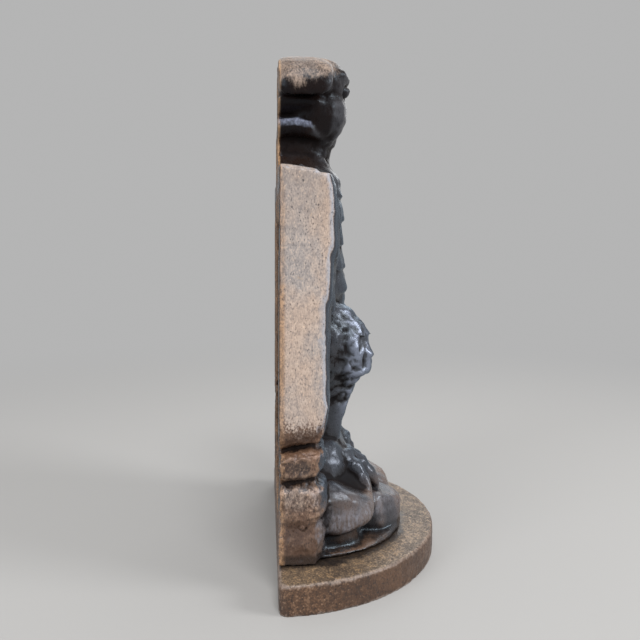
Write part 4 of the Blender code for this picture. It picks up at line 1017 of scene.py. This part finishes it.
class DOORSTOP_OT_stage(bpy.types.Operator):
    """Sets the floor, the lamps, the room and the camera"""
    bl_idname = "doorstop.stage"
    bl_label = "Stage"

    def execute(self, context):
        settings = context.scene.doorstop_stage
        bpy.ops.object.select_all(action="DESELECT")
        bpy.ops.mesh.primitive_plane_add(size=12.0, location=(0.0, 0.0, 0.0))
        floor = context.active_object
        floor.name = "floor"
        floor.data.materials.append(make_floor(settings))

        target = Vector((0.0, 0.0, 0.09))
        for name, place, size, power in (
            ("top_lamp", (-0.50, -0.05, 0.90), 0.40, 6.0),
            ("window_lamp", (-0.35, -0.90, 0.55), 0.45, 6.5),
            ("back_lamp", (-0.65, 0.75, 0.40), 0.55, 4.2),
            ("fill_lamp", (0.90, -0.25, 0.70), 1.00, 3.5),
        ):
            lamp = bpy.data.lights.new(name, "AREA")
            lamp.shape = "DISK"
            lamp.size = size
            lamp.energy = power
            holder = bpy.data.objects.new(name, lamp)
            holder.location = place
            holder.rotation_euler = (target - Vector(place)).to_track_quat("-Z", "Y").to_euler()
            context.scene.collection.objects.link(holder)

        world = bpy.data.worlds.new("room")
        world.use_nodes = True
        background = world.node_tree.nodes["Background"]
        background.inputs["Color"].default_value = (*settings.room_colour, 1.0)
        background.inputs["Strength"].default_value = 1.0
        context.scene.world = world
        context.scene.view_settings.view_transform = "Standard"

        yaw, pitch, roll = settings.camera_yaw, settings.camera_pitch, settings.camera_roll
        forward = Vector((math.cos(pitch) * math.cos(yaw), -math.cos(pitch) * math.sin(yaw),
                          -math.sin(pitch)))
        level = Vector((-math.sin(yaw), -math.cos(yaw), 0.0))
        upright = level.cross(forward)
        right = math.cos(roll) * level + math.sin(roll) * upright
        up = math.cos(roll) * upright - math.sin(roll) * level
        camera = bpy.data.cameras.new("photo_camera")
        camera.sensor_width = 36.0
        camera.lens = settings.lens
        camera.clip_start = 0.01
        holder = bpy.data.objects.new("photo_camera", camera)
        placed = Matrix((right, up, -forward)).transposed().to_4x4()
        placed.translation = settings.camera_place
        holder.matrix_world = placed
        context.scene.collection.objects.link(holder)
        context.scene.camera = holder
        return {"FINISHED"}


class DOORSTOP_PT_panel(bpy.types.Panel):
    """Lists the doorstop's sizes, colours and pieces"""
    bl_idname = "DOORSTOP_PT_panel"
    bl_label = "Eagle Doorstop"
    bl_space_type = "VIEW_3D"
    bl_region_type = "UI"
    bl_category = "Doorstop"

    def draw(self, context):
        scene = context.scene
        for settings in (scene.doorstop_casting, scene.doorstop_finish, scene.doorstop_stage):
            for key in settings.bl_rna.properties.keys():
                if key not in {"rna_type", "name"}:
                    self.layout.prop(settings, key)
        for operator in OPERATORS:
            self.layout.operator(operator.bl_idname)


SETTINGS = (CastingSettings, FinishSettings, StageSettings)
OPERATORS = (DOORSTOP_OT_finishes, DOORSTOP_OT_figure, DOORSTOP_OT_base, DOORSTOP_OT_screws,
             DOORSTOP_OT_stage)


def register():
    for item in (*SETTINGS, *OPERATORS, DOORSTOP_PT_panel):
        bpy.utils.register_class(item)
    bpy.types.Scene.doorstop_casting = bpy.props.PointerProperty(type=CastingSettings)
    bpy.types.Scene.doorstop_finish = bpy.props.PointerProperty(type=FinishSettings)
    bpy.types.Scene.doorstop_stage = bpy.props.PointerProperty(type=StageSettings)


def unregister():
    del bpy.types.Scene.doorstop_casting
    del bpy.types.Scene.doorstop_finish
    del bpy.types.Scene.doorstop_stage
    for item in reversed((*SETTINGS, *OPERATORS, DOORSTOP_PT_panel)):
        bpy.utils.unregister_class(item)


def main():
    register()
    bpy.ops.doorstop.finishes()
    bpy.ops.doorstop.figure()
    bpy.ops.doorstop.base()
    bpy.ops.doorstop.screws()
    bpy.ops.doorstop.stage()


if __name__ == "__main__":
    main()
